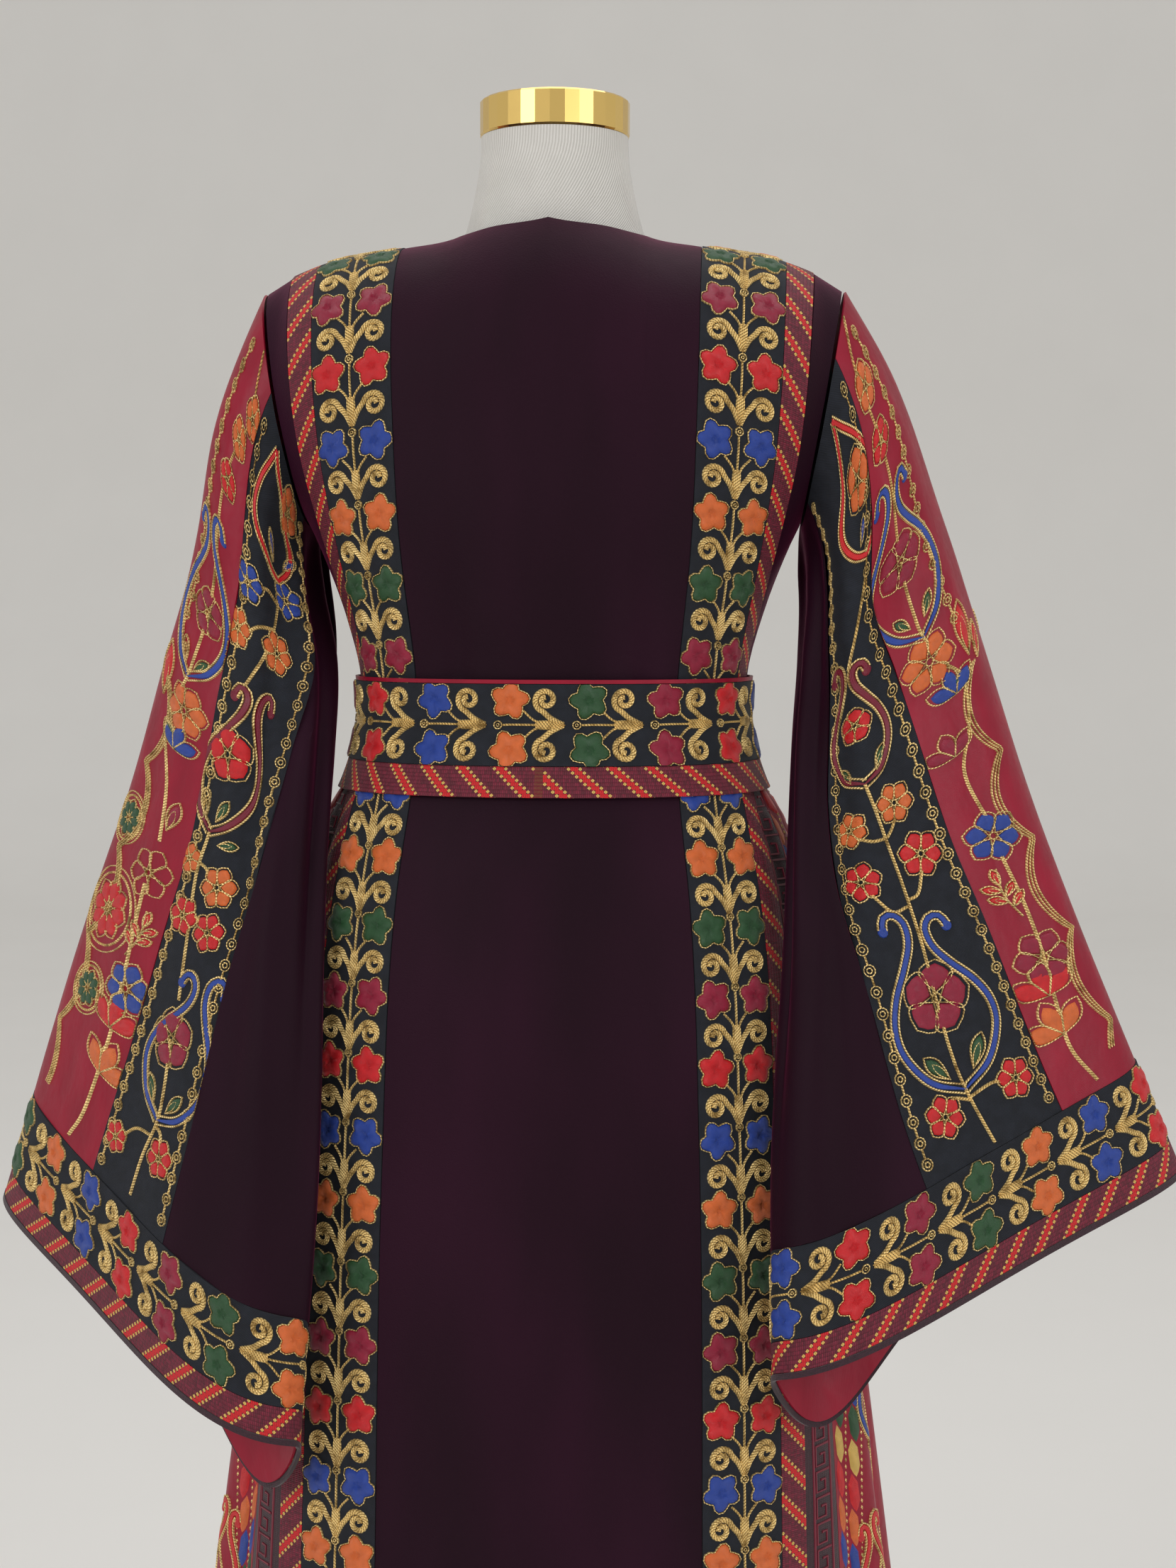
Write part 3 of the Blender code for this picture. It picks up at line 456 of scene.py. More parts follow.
class Panel:
    """A panel's cloth on a grid: rows along it, columns across. It knows its flat sizes in metres.

    Its area is half the length of the cross product of each cell's two diagonals, summed up.
    """

    def __init__(self, grid, middle, thick, loop=False, lift=0.0, level=False):
        padded = np.concatenate([grid[-2:-1], grid, grid[1:2]]) if loop else grid
        n = np.cross(np.gradient(padded, axis=1), np.gradient(padded, axis=0))
        n = n[1:-1] if loop else n
        n /= np.maximum(np.linalg.norm(n, axis=-1, keepdims=True), 1e-12)
        self.turned = -1 if np.sum(n * (grid - middle)) < 0 else 1
        n = n * self.turned
        if level:
            n = n * np.array([1.0, 1.0, 0.0])
            n /= np.linalg.norm(n, axis=-1, keepdims=True)
        self.normals, self.loop = n, loop
        self.inner = grid + n * lift
        self.outer = grid + n * (lift + thick)
        steps = np.linalg.norm(np.diff(self.outer, axis=1), axis=-1)
        self.widths = steps.sum(axis=1)
        line = self.outer[:, self.outer.shape[1] // 2]
        self.run = np.concatenate([[0], np.cumsum(np.linalg.norm(np.diff(line, axis=0), axis=1))])
        self.length = self.run[-1]
        down = self.outer[1:, 1:] - self.outer[:-1, :-1]
        back = self.outer[1:, :-1] - self.outer[:-1, 1:]
        slants = np.cross(down, back)
        self.area = float(np.linalg.norm(slants, axis=-1).sum() / 2)

    def uvs(self):
        """Flat coordinates of the grid's points: metres across from the middle, and metres along."""
        cols = self.outer.shape[1]
        across = np.linspace(-0.5, 0.5, cols)[None, :] * self.widths[:, None]
        return np.stack([across, np.repeat(self.run[:, None], cols, axis=1)], -1)

    def lay(self, flat):
        """Points (across, along, height) laid on the cloth by linear steps between the grid's points."""
        rows, cols = self.outer.shape[:2]
        along = np.mod(flat[:, 1], self.length) if self.loop else flat[:, 1]
        row = np.interp(along, self.run, np.arange(rows))
        width = np.interp(along, self.run, self.widths)
        col = np.clip((flat[:, 0] / width + 0.5) * (cols - 1), 0, cols - 1)
        r = np.clip(row.astype(int), 0, rows - 2)
        c = np.clip(col.astype(int), 0, cols - 2)
        fr, fc = (row - r)[:, None], (col - c)[:, None]

        def read(values):
            low = values[r, c] * (1 - fc) + values[r, c + 1] * fc
            high = values[r + 1, c] * (1 - fc) + values[r + 1, c + 1] * fc
            return low * (1 - fr) + high * fr

        n = read(self.normals)
        n /= np.linalg.norm(n, axis=1, keepdims=True)
        return read(self.outer) + n * flat[:, 2:3]


def new_mesh(name, corners, quads, tris, uvs, material, slot, colours=None):
    """Puts arrays of corners, four-sided and three-sided faces into a mesh that rides on the body."""
    mesh = bpy.data.meshes.new(name)
    mesh.vertices.add(len(corners))
    mesh.vertices.foreach_set("co", np.asarray(corners, np.float32).ravel())
    quads = np.asarray(quads, np.int32).reshape(-1, 4)
    tris = np.asarray(tris, np.int32).reshape(-1, 3)
    loops = np.concatenate([quads.ravel(), tris.ravel()])
    mesh.loops.add(len(loops))
    mesh.loops.foreach_set("vertex_index", loops)
    starts = np.concatenate([np.arange(len(quads)) * 4, len(quads) * 4 + np.arange(len(tris)) * 3])
    mesh.polygons.add(len(starts))
    mesh.polygons.foreach_set("loop_start", starts.astype(np.int32))
    mesh.update(calc_edges=True)
    layer = mesh.uv_layers.new(name="flat")
    layer.data.foreach_set("uv", np.asarray(uvs, np.float32)[loops].ravel())
    if colours is not None:
        thread = mesh.color_attributes.new("thread", "FLOAT_COLOR", "POINT")
        full = np.concatenate([colours, np.ones((len(colours), 1))], axis=1).astype(np.float32)
        thread.data.foreach_set("color", full.ravel())
    mesh.materials.append(bpy.data.materials[FINISH_PREFIX + material])
    mesh.shade_smooth()
    mesh.set_sharp_from_angle(angle=math.radians(48))
    piece = bpy.data.objects.new(name, mesh)
    bpy.context.scene.collection.objects.link(piece)
    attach(piece, BODY_NAME)
    return piece


def grid_faces(rows, cols):
    """Four-sided faces of a grid whose points are numbered row by row."""
    r, c = np.meshgrid(np.arange(rows - 1), np.arange(cols - 1), indexing="ij")
    a = (r * cols + c).ravel()
    return np.stack([a, a + 1, a + cols + 1, a + cols], -1)


def cloth(name, panel, material, slot, nodes):
    """A thin shell of a panel: its outer and inner face, joined along the edges.

    Unless it is narrower than the narrowest sheet.
    """
    rows, cols = panel.outer.shape[:2]
    if panel.loop:
        rows_used = rows - 1
        outer, inner = panel.outer[:-1], panel.inner[:-1]
    else:
        rows_used = rows
        outer, inner = panel.outer, panel.inner
    count = rows_used * cols
    corners = np.concatenate([outer.reshape(-1, 3), inner.reshape(-1, 3)])
    uv = panel.uvs()[:rows_used].reshape(-1, 2)
    uvs = np.concatenate([uv, uv])
    r, c = np.meshgrid(np.arange(rows - 1), np.arange(cols - 1), indexing="ij")
    a, b = (r * cols + c).ravel(), (((r + 1) % rows_used) * cols + c).ravel()
    face = np.stack([a, a + 1, b + 1, b], -1)
    quads = [face, count + face[:, ::-1]]
    k = np.arange(rows - 1)
    for column, forward in ((0, True), (cols - 1, False)):
        e, f = k * cols + column, ((k + 1) % rows_used) * cols + column
        edge = np.stack([e, f, count + f, count + e], -1)
        quads.append(edge if forward else edge[:, ::-1])
    if not panel.loop:
        for row, forward in ((0, False), (rows - 1, True)):
            e = row * cols + np.arange(cols - 1)
            edge = np.stack([e, e + 1, count + e + 1, count + e], -1)
            quads.append(edge if forward else edge[:, ::-1])
    quads = np.concatenate(quads)
    if panel.turned < 0:
        quads = quads[:, ::-1]
    piece = new_mesh(name, corners, quads, [], uvs, material, slot)
    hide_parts(*nodes)
    width = float(panel.widths.max())
    if width < NARROWEST_SHEET:
        return piece
    return piece


def bodice_middle_panel(front):
    """The bodice's plain panel: columns out to the borders, rows up to the neckline's soft curve."""
    parts = np.linspace(0, 0.55, 12), np.linspace(0.55, 0.667, 12)[1:], np.linspace(0.667, 1, 8)[1:]
    steps = np.concatenate(parts)
    steps = np.concatenate([-steps[:0:-1], steps])
    neck = np.clip(np.abs(steps) * 0.102 / NECK_HALF, 0, 1)
    low = NECK_LOW_FRONT if front else NECK_LOW_BACK
    top = 1 - (1 - low) * np.sqrt(1 - neck**2)
    ways = np.minimum(bodice_ways(24)[:, None] * top, 1 - SEAM)
    ways = 2 - ways if front else ways
    halves = np.interp(ways, *MIDDLE_EDGES) - SEAM / 2
    xs = steps * halves
    grid = bodice_point(xs, ways)
    z = grid[..., 2]
    dart = sum(bump(xs, side * 0.058, 0.009) * bump(z, 1.115, 0.075) for side in (-1, 1))
    pull = bump(z, 1.13, 0.05) * 0.0016 * np.sin(70 * xs + 3)
    out = np.where(ways > 1, 1.0, -1.0)
    grid[..., 1] += out * (-0.0034 * dart + pull) * np.clip((z - 1.075) / 0.03, 0, 1)
    return Panel(grid, body_middle(grid), CLOTH)


def over_shoulder_panel(side, first, last, cells, thick):
    """A band over the shoulder, from the waist at the back to the waist at the front."""
    ways = bodice_ways(30)
    ways = np.concatenate([ways, 2 - ways[-2::-1]])
    widths = np.linspace(first, last, cells + 1)
    xs = np.array([[across_from(middle_edge(way), w, way) for w in widths] for way in ways])
    grid = bodice_point(side * xs, np.repeat(ways[:, None], cells + 1, axis=1))
    return Panel(grid, body_middle(grid), thick)


def armhole_grid(side_name):
    """Spokes from the armhole out to the tape's edge and down to the waist, as a closed grid."""
    side, table = SIDES[side_name], SLEEVES[side_name]
    reach = BORDER_WIDTH + TAPE_WIDTH + 1.2 * SEAM
    shares = bodice_ways(16)
    foot_turn = SPOKES[0][1]
    rims = [(2 - share, 1 - float(smooth(SPOKES, 1, share)) / 2, 1.0) for share in shares]
    rims += [(share, float(smooth(SPOKES, 1, share)) / 2, 1.0) for share in shares[-2::-1]]
    for part in np.linspace(-1, 1, 9)[1:-1]:
        turn = 1 - (1 - foot_turn) * abs(part)
        rims.append((0.0 if part < 0 else 2.0, turn / 2 if part < 0 else 1 - turn / 2, abs(part)))
    spokes = []
    for way, u, out in rims:
        front = way > 1
        inner = sleeve_point(table, u, 0.0)
        gap = ARMHOLE_GAP_TOP + (ARMHOLE_GAP_FOOT - ARMHOLE_GAP_TOP) * (1 - math.cos(2 * math.pi * u)) / 2
        inner[0] -= side * gap
        outer = bodice_point(side * across_from(middle_edge(way), reach, way), way)
        if out < 1:
            outer[1] *= out
            outer[0] = side * on_side(outer[1], WAIST_HEIGHT, front)
        points = inner + (outer - inner) * np.linspace(0, 1, 13)[:, None]
        low = np.clip((1.235 - points[:, 2]) / 0.03, 0, 1)
        surface = side * on_side(points[:, 1], points[:, 2], front)
        points[1:-1, 0] += (low * (surface - points[:, 0]))[1:-1]
        spokes.append(points)
    spokes.append(spokes[0])
    return np.array(spokes)


def skirt_panel(first, last, cells, thick, side=1.0, whole=False):
    """A piece of the skirt between two edges, counted from the back or, below 0, from the front."""
    heights = np.linspace(SKIRT_TOP, HEM_HEIGHT, 92)
    runs = []
    for z in heights:
        marks = np.concatenate([[0], np.cumsum([float(smooth(SKIRT, k, z)) for k in range(1, 5)])])
        total = skirt_ring(z)[1][-1]
        if whole:
            half = np.linspace(1e-5, marks[1] - SEAM / 2, cells // 2 + 1)
            half = total - half if first < 0 else half
            runs.append(np.concatenate([-half[:0:-1], half]))
            continue
        ends = [marks[k] if k >= 0 else total - marks[-k - 1] for k in (first, last)]
        runs.append(side * np.linspace(ends[0] + SEAM / 2, ends[1] - SEAM / 2, cells + 1))
    runs = np.array(runs)
    grid = skirt_point(runs, np.repeat(heights[:, None], runs.shape[1], axis=1))
    if whole:
        middle = runs.shape[1] // 2
        grid[:, middle] = (grid[:, middle - 1] + grid[:, middle + 1]) / 2
    return Panel(grid, body_middle(grid), thick)


def belt_panel(foot, top, thick, cells):
    """A band of the belt: rows round the waist from the middle of the back, columns from foot to top."""
    columns = []
    for z in np.linspace(foot, top, cells + 1):
        ring, run = skirt_ring(z)
        at = np.linspace(0, run[-1], 73)
        half = np.stack([np.interp(at, run, ring[:, i]) for i in range(3)], -1)
        columns.append(np.concatenate([half, half[-2::-1] * np.array([-1.0, 1.0, 1.0])]))
    grid = np.swapaxes(np.array(columns), 0, 1)
    return Panel(grid, body_middle(grid), thick, loop=True, lift=TRIM + BELT_GAP, level=True)


def sleeve_middle(table, downs):
    """The middle line of the sleeve."""
    outer, inner, _, _ = sleeve_line(table, downs)
    return (outer + inner) / 2


def soft_waves(side_name, us, downs):
    """Soft troughs that run down a sleeve's cloth, uneven in length and depth, in metres."""
    shift = 0.4 if side_name == "right" else 1.7
    fade = np.clip(downs / 0.10, 0, 1) * np.clip((1.02 - downs) / 0.25, 0, 1)
    wave = 0.0030 * np.sin(2 * math.pi * 9 * us + 2.2 * downs + shift) * bump(us, 0.45, 0.22)
    fine = bump(us, 0.42, 0.12) * bump(downs, 0.5, 0.3)
    wave += 0.0022 * np.sin(2 * math.pi * 16 * us - 3.0 * downs + shift) * fine
    wave += 0.0010 * np.sin(2 * math.pi * 6 * us + 5 * downs + shift)
    elbow = 0.0016 * np.sin(26 * downs + 8 * us + shift) * bump(downs, 0.32, 0.14) * bump(us, 0.25, 0.16)
    return (wave + elbow) * fade


def panel_edge(side_name, edge, share):
    """The u of a panel's edge at a share of the way down to the cuff's border."""
    if edge > 0:
        return smooth(SLEEVE_EDGES[side_name], edge, share)
    return 1 - smooth(FRONT_EDGES, -edge, share)


def panel_edges(side_name, first, last, share):
    """Both edges of a panel, in rising order round the sleeve."""
    low, high = panel_edge(side_name, first, share), panel_edge(side_name, last, share)
    return np.where(low > high, low - 1, low), high


def sleeve_panel(side_name, piece):
    """A long panel of the sleeve between two lines that run down it."""
    _, first, last, cells, _ = piece
    table = SLEEVES[side_name]
    trim = BORDER_WIDTH + TAPE_WIDTH + BINDING_WIDTH
    parts = np.linspace(0, 1, PANEL_ROWS + 1)[:, None]
    turn = 0.3 * SEAM / (0.45 + 0.25 * parts)
    share = np.linspace(0, 1, cells + 1)
    low, high = panel_edges(side_name, first, last, parts)
    low, high = low + turn, high - turn
    us = low + (high - low) * share
    hem_low, hem_high = panel_edges(side_name, first, last, 1.0)
    end = down_from_hem(table, hem_low + (hem_high - hem_low) * share, trim + SEAM)
    downs = end * parts
    middle = sleeve_middle(table, downs)
    grid = sleeve_point(table, us, downs)
    flat_panel = Panel(grid, middle, CLOTH)
    edge = np.clip(np.minimum(share, 1 - share) / 0.10, 0, 1) if cells > 30 else 1.0
    height = soft_waves(side_name, us, downs) * edge
    return Panel(grid + flat_panel.normals * height[..., None], middle, CLOTH)


def cuff_panel(side_name, top, foot, cells, thick, lift=0.0):
    """A band round the sleeve's end: rows round it from the outer fold, columns from its top to its foot."""
    table = SLEEVES[side_name]
    us = np.linspace(0, 1, 161)
    downs = np.array([down_from_hem(table, us, d) for d in np.linspace(top, foot, cells + 1)]).T
    downs[-1] = downs[0]
    grid = sleeve_point(table, np.repeat(us[:, None], cells + 1, axis=1), downs)
    grid[-1] = grid[0]
    return Panel(grid, sleeve_middle(table, downs), thick, loop=True, lift=lift)


_EDGE_WAYS = np.linspace(0, 2, 121)
MIDDLE_EDGES = (_EDGE_WAYS, np.array([middle_edge(way) for way in _EDGE_WAYS]))


# Flat trimmings


class Trim:
    """Trimmings drawn flat: corners (across, along, height) with faces, thread directions and colours."""

    def __init__(self):
        self.corners, self.quads, self.tris, self.uvs, self.colours = [], [], [], [], []
        self.count = 0

    def add(self, corners, quads, tris, uvs, colour=(1, 1, 1)):
        """Adds corners, faces that number them from 0, their flat places and one colour or one each."""
        self.corners.append(np.asarray(corners, float))
        self.quads.append(np.asarray(quads, int).reshape(-1, 4) + self.count)
        self.tris.append(np.asarray(tris, int).reshape(-1, 3) + self.count)
        self.uvs.append(np.asarray(uvs, float))
        colour = np.asarray(colour, float)
        self.colours.append(np.broadcast_to(colour, (len(corners), 3)))
        self.count += len(corners)

    def packed(self):
        """Everything as five arrays."""
        parts = self.corners, self.quads, self.tris, self.uvs, self.colours
        return [np.concatenate(part) for part in parts]

    def put(self, other, across=0.0, along=0.0, turn=0.0, scale=1.0, mirror=1.0, colour=None):
        """Adds a copy of another trimming, mirrored across, turned, scaled and moved."""
        if not other.count:
            return
        corners, quads, tris, uvs, colours = other.packed()
        corners = corners * np.array([mirror * scale, scale, 1.0 if scale > 0.5 else 0.8])
        c, s = math.cos(turn), math.sin(turn)
        x, y = corners[:, 0].copy(), corners[:, 1].copy()
        corners[:, 0] = c * x - s * y + across
        corners[:, 1] = s * x + c * y + along
        if mirror < 0:
            quads, tris = quads[:, ::-1], tris[:, ::-1]
        self.add(corners, quads, tris, uvs, colours if colour is None else colour)


def rows_profile(count, cord=CORD, height=0.00085):
    """A closed section across so many cords laid side by side: a crest on each and a valley between."""
    half = count * cord / 2
    points = [(-half, -0.0003)]
    for k in range(count):
        points.append((-half + (k + 0.5) * cord, height))
        if k < count - 1:
            points.append((-half + (k + 1) * cord, height * 0.45))
    if count == 1:
        points = [(-half, -0.0003), (-half * 0.5, height), (half * 0.5, height)]
    points.append((half, -0.0003))
    return np.array(points)


def ribbon(trim, path, profile, closed=False, taper=None, colour=(1, 1, 1)):
    """A profile carried along a flat path: each section stands square to the path's direction."""
    path = np.asarray(path, float)
    n, k = len(path), len(profile)
    if closed:
        along = np.roll(path, -1, axis=0) - np.roll(path, 1, axis=0)
    else:
        along = np.gradient(path, axis=0)
    along /= np.maximum(np.linalg.norm(along, axis=1, keepdims=True), 1e-9)
    side = np.stack([along[:, 1], -along[:, 0]], -1)
    size = np.ones(n) if taper is None else np.asarray(taper, float)
    flat = path[:, None, :] + side[:, None, :] * (profile[None, :, 0] * size[:, None])[..., None]
    high = np.repeat(profile[None, :, 1], n, axis=0) * np.minimum(1, 0.5 + 0.5 * size[:, None])
    corners = np.concatenate([flat, high[..., None]], -1).reshape(-1, 3)
    run = np.concatenate([[0], np.cumsum(np.linalg.norm(np.diff(path, axis=0), axis=1))])
    uvs = np.stack([np.repeat(profile[None, :, 0], n, axis=0), np.repeat(run[:, None], k, axis=1)], -1)
    i, j = np.meshgrid(np.arange(n if closed else n - 1), np.arange(k), indexing="ij")
    i2, j2 = (i + 1) % n, (j + 1) % k
    quads = np.stack([i * k + j, i * k + j2, i2 * k + j2, i2 * k + j], -1).reshape(-1, 4)
    tris = []
    if not closed:
        fan = np.arange(1, k - 1)
        start = np.stack([0 * fan, fan + 1, fan], -1)
        last = (n - 1) * k
        tris = np.concatenate([start, np.stack([last + 0 * fan, last + fan, last + fan + 1], -1)])
    trim.add(corners, quads, tris, uvs.reshape(-1, 2), colour)


def curve(points, count):
    """A smooth path through points, by Catmull-Rom pieces, with even steps."""
    p = np.asarray(points, float)
    p = np.concatenate([2 * p[:1] - p[1:2], p, 2 * p[-1:] - p[-2:-1]])
    t = np.linspace(0, 1, 9)[:-1, None]
    out = []
    for k in range(len(p) - 3):
        a, b, c, d = p[k : k + 4]
        bend = (2 * a - 5 * b + 4 * c - d) * t**2 + (3 * b - a - 3 * c + d) * t**3
        out.append(0.5 * (2 * b + (c - a) * t + bend))
    line = np.concatenate(out + [p[-2:-1]])
    run = np.concatenate([[0], np.cumsum(np.linalg.norm(np.diff(line, axis=0), axis=1))])
    even = np.linspace(0, run[-1], count)
    return np.stack([np.interp(even, run, line[:, i]) for i in range(2)], -1)


def dome(trim, outline, height, colour, rings=((0.45, 1.0), (0.82, 0.74), (1.0, -0.15)), top=1.0, lines=1.0):
    """A padded shape over an outline of (across, along) points round its middle: rings of (share, height)."""
    outline = np.asarray(outline, float)
    middle = outline.mean(axis=0)
    n = len(outline)
    corners = [np.array([[*middle, top * height]])]
    uvs = [np.array([[0.0, 0.0]])]
    angle = np.arctan2(*(outline - middle).T[::-1])
    far = np.linalg.norm(outline - middle, axis=1)
    for share, high in rings:
        ring = middle + (outline - middle) * share
        corners.append(np.column_stack([ring, np.full(n, high * height)]))
        uvs.append(np.stack([angle * lines * far.mean(), far * share], -1))
    corners.append(np.array([[*middle, -0.15 * height]]))
    uvs.append(np.array([[0.0, 0.0]]))
    k = np.arange(n)
    k2 = (k + 1) % n
    tris = [np.stack([0 * k, 1 + k, 1 + k2], -1)]
    quads = []
    for r in range(len(rings) - 1):
        a = 1 + r * n
        quads.append(np.stack([a + k, a + n + k, a + n + k2, a + k2], -1))
    last = 1 + (len(rings) - 1) * n
    foot = last + n
    tris.append(np.stack([foot + 0 * k, last + k2, last + k], -1))
    trim.add(*(np.concatenate(part) for part in (corners, quads, tris, uvs)), colour)


def ring_path(radius, count=12, middle=(0.0, 0.0)):
    """Points round a circle."""
    angle = np.linspace(0, 2 * math.pi, count, endpoint=False)
    return np.stack([middle[0] + radius * np.cos(angle), middle[1] + radius * np.sin(angle)], -1)


def star_outline(radius):
    """A five-petalled edge: radius times 0.60 + 0.36 |cos|^0.8 + 0.04 |cos|^8 of half its petals' angle."""
    angle = np.linspace(0, 2 * math.pi, 25, endpoint=False)
    lobe = np.abs(np.cos(5 * (angle + math.pi / 2) / 2))
    far = radius * (0.60 + 0.36 * lobe**0.8 + 0.04 * lobe**8)
    return np.stack([far * np.cos(angle), far * np.sin(angle)], -1)


def petal_outline(length, width):
    """A petal from its foot at 0 to its tip: width times sin^0.8 with its widest part past the middle."""
    half = np.linspace(0, 1, 8)
    across = width / 2 * np.sin(math.pi * half**1.3) ** 0.8
    right = np.stack([across, half * length], -1)
    return np.concatenate([right, right[-2:0:-1] * np.array([-1, 1])])


def star_flower(gold, silk, radius, colour):
    """The border's flower: a padded star with a dimple, edged with one cord."""
    outline = star_outline(radius)
    rings = ((0.17, 0.52), (0.30, 1.0), (0.70, 0.92), (0.94, 0.45), (1.0, -0.15))
    dome(silk, outline * 0.985, 0.0022, colour, rings, top=0.42, lines=1.6)
    ribbon(gold, outline * 1.02, rows_profile(1, 0.0009, 0.0011), closed=True)


def drop_flower(gold, silk, radius, petals, colour, start=0.0, wide=1.0):
    """A sleeve flower: separate padded petals, each edged with cord, round a couched knot."""
    width = wide * 1.5 * radius * math.sin(math.pi / petals)
    outline = petal_outline(radius * 0.86, width)
    for k in range(petals):
        turn = start + 2 * math.pi * k / petals
        one_gold, one_silk = Trim(), Trim()
        if colour:
            dome(one_silk, outline * 0.86 + np.array([0, radius * 0.03]), 0.0016, COLOURS[colour], lines=1.5)
        ribbon(one_gold, outline, rows_profile(1, 0.0011, 0.0010), closed=True)
        shift = radius * 0.14
        gold.put(one_gold, -math.sin(turn) * shift, math.cos(turn) * shift, turn)
        silk.put(one_silk, -math.sin(turn) * shift, math.cos(turn) * shift, turn)
    ribbon(gold, ring_path(radius * 0.13), rows_profile(1, 0.0011, 0.0016), closed=True)


def link(gold, radius):
    """One link of a chain: a coiled ring in a ring."""
    ribbon(gold, ring_path(radius * 0.86, 12), rows_profile(1, 0.0011, 0.0010), closed=True)
    ribbon(gold, ring_path(radius * 0.40, 8), rows_profile(1, 0.0012, 0.0012), closed=True)


def chain(gold, points, pitch=0.0138, radius=0.0044):
    """Coiled rings along a path, with a short double cord between each two."""
    p = np.asarray(points, float)
    run = np.concatenate([[0], np.cumsum(np.linalg.norm(np.diff(p, axis=0), axis=1))])
    count = max(2, int(run[-1] / pitch))
    at = (np.arange(count) + 0.5) * run[-1] / count
    spots = np.stack([np.interp(at, run, p[:, i]) for i in range(2)], -1)
    one = Trim()
    link(one, radius)
    for k in range(count):
        gold.put(one, *spots[k])
        if k < count - 1:
            way = (spots[k + 1] - spots[k]) / np.linalg.norm(spots[k + 1] - spots[k])
            ends = np.array([spots[k] + way * radius * 0.9, spots[k + 1] - way * radius * 0.9])
            ribbon(gold, np.linspace(ends[0], ends[1], 3), rows_profile(2, 0.0009, 0.0008))


def volute_path(side):
    """The scroll: out of the trunk, over its top and 1.5 turns in, its radius falling with the angle."""
    angle = np.linspace(0.25, 3 * math.pi, 24)
    far = VOLUTE_RADIUS * (1 - 0.76 * (angle / (3 * math.pi)) ** 0.9)
    spiral = np.stack([VOLUTE_ACROSS - far * np.cos(angle), VOLUTE_ALONG - far * np.sin(angle)], -1)
    stem = np.array([[0.0010, 0.0440], [0.0022, 0.0395], [0.0045, 0.0350]])
    path = curve(np.concatenate([stem, spiral]), 30)
    return path * np.array([side, 1.0])


def border_repeat():
    """One repeat of the border's plant in gold cord: ring, stem, branches, trunk and two scrolls."""
    gold = Trim()
    ribbon(gold, ring_path(0.0026), rows_profile(1, 0.0011, 0.0012), closed=True)
    ribbon(gold, ring_path(0.0010, 6), rows_profile(1, 0.0010, 0.0012), closed=True)
    ribbon(gold, curve([(0, 0.0030), (0.0002, 0.012), (0, 0.028)], 7), rows_profile(2, 0.0009))
    widening = np.concatenate([[0.5, 0.7, 0.9], np.ones(27)])
    for side in (-1, 1):
        branch = curve([(side * 0.0012, 0.0300), (side * 0.0034, 0.0235), (side * 0.0095, 0.0170)], 6)
        ribbon(gold, branch, rows_profile(2, 0.0009))
        ribbon(gold, volute_path(side), rows_profile(3, 0.0014, 0.0011), taper=widening)
    trunk = curve([(0, 0.0250), (0, 0.0350), (0, 0.0448)], 8)
    ribbon(gold, trunk, rows_profile(5, 0.0013, 0.0012), taper=[0.75, 1.0, 1.05, 1.0, 0.85, 0.65, 0.4, 0.12])
    return gold


def border_trims(first, colours_from, pitch, count):
    """A border's plants and flowers from the first ring on, as gold and silk trimmings."""
    gold, silk, plant = Trim(), Trim(), border_repeat()
    stretch = pitch / REPEAT
    for k in range(count):
        at = first + k * pitch
        gold.put(plant, 0, at)
        colour = BORDER_COLOURS[(colours_from + k) % len(BORDER_COLOURS)]
        for side in (-1, 1):
            one_gold, one_silk = Trim(), Trim()
            star_flower(one_gold, one_silk, FLOWER_RADIUS, COLOURS[colour])
            turn = side * 0.18 + 0.35 * math.sin(3.7 * k + side)
            gold.put(one_gold, side * FLOWER_ACROSS, at + FLOWER_ALONG * stretch, turn)
            silk.put(one_silk, side * FLOWER_ACROSS, at + FLOWER_ALONG * stretch, turn)
    return gold, silk


def edge_line(panel, side, inset, at):
    """How far across the panel a line runs that keeps an even distance from one edge."""
    return side * (np.interp(at, panel.run, panel.widths) / 2 - inset)


class Laid:
    """Gathers trimmings laid on several panels into one piece."""

    def __init__(self):
        self.whole = Trim()

    def lay(self, trim, panel, flip_along=False):
        """Lays a flat trimming on a panel, with its along turned end for end if asked."""
        if not trim.count:
            return
        corners, quads, tris, uvs, colours = trim.packed()
        if flip_along:
            corners = corners * np.array([1.0, -1.0, 1.0]) + np.array([0.0, panel.length, 0.0])
        if (panel.turned > 0) == flip_along:
            quads, tris = quads[:, ::-1], tris[:, ::-1]
        self.whole.add(panel.lay(corners), quads, tris, uvs, colours)

    def finish(self, name, material, slot):
        """Makes the piece of everything laid."""
        return new_mesh(name, *self.whole.packed()[:4], material, slot, colours=self.whole.packed()[4])


# Colours and finishes

COLOURS = {
    "crimson": (0.300, 0.006, 0.036),
    "red": (0.640, 0.008, 0.014),
    "blue": (0.014, 0.052, 0.330),
    "orange": (0.740, 0.150, 0.030),
    "green": (0.019, 0.078, 0.025),
    "maroon": (0.190, 0.006, 0.026),
    "gold": (0.720, 0.470, 0.110),
}
GOLD_THREAD = (0.860, 0.640, 0.270)


def shade(colour, factor):
    """A colour made darker or brighter."""
    return tuple(factor * part for part in colour)


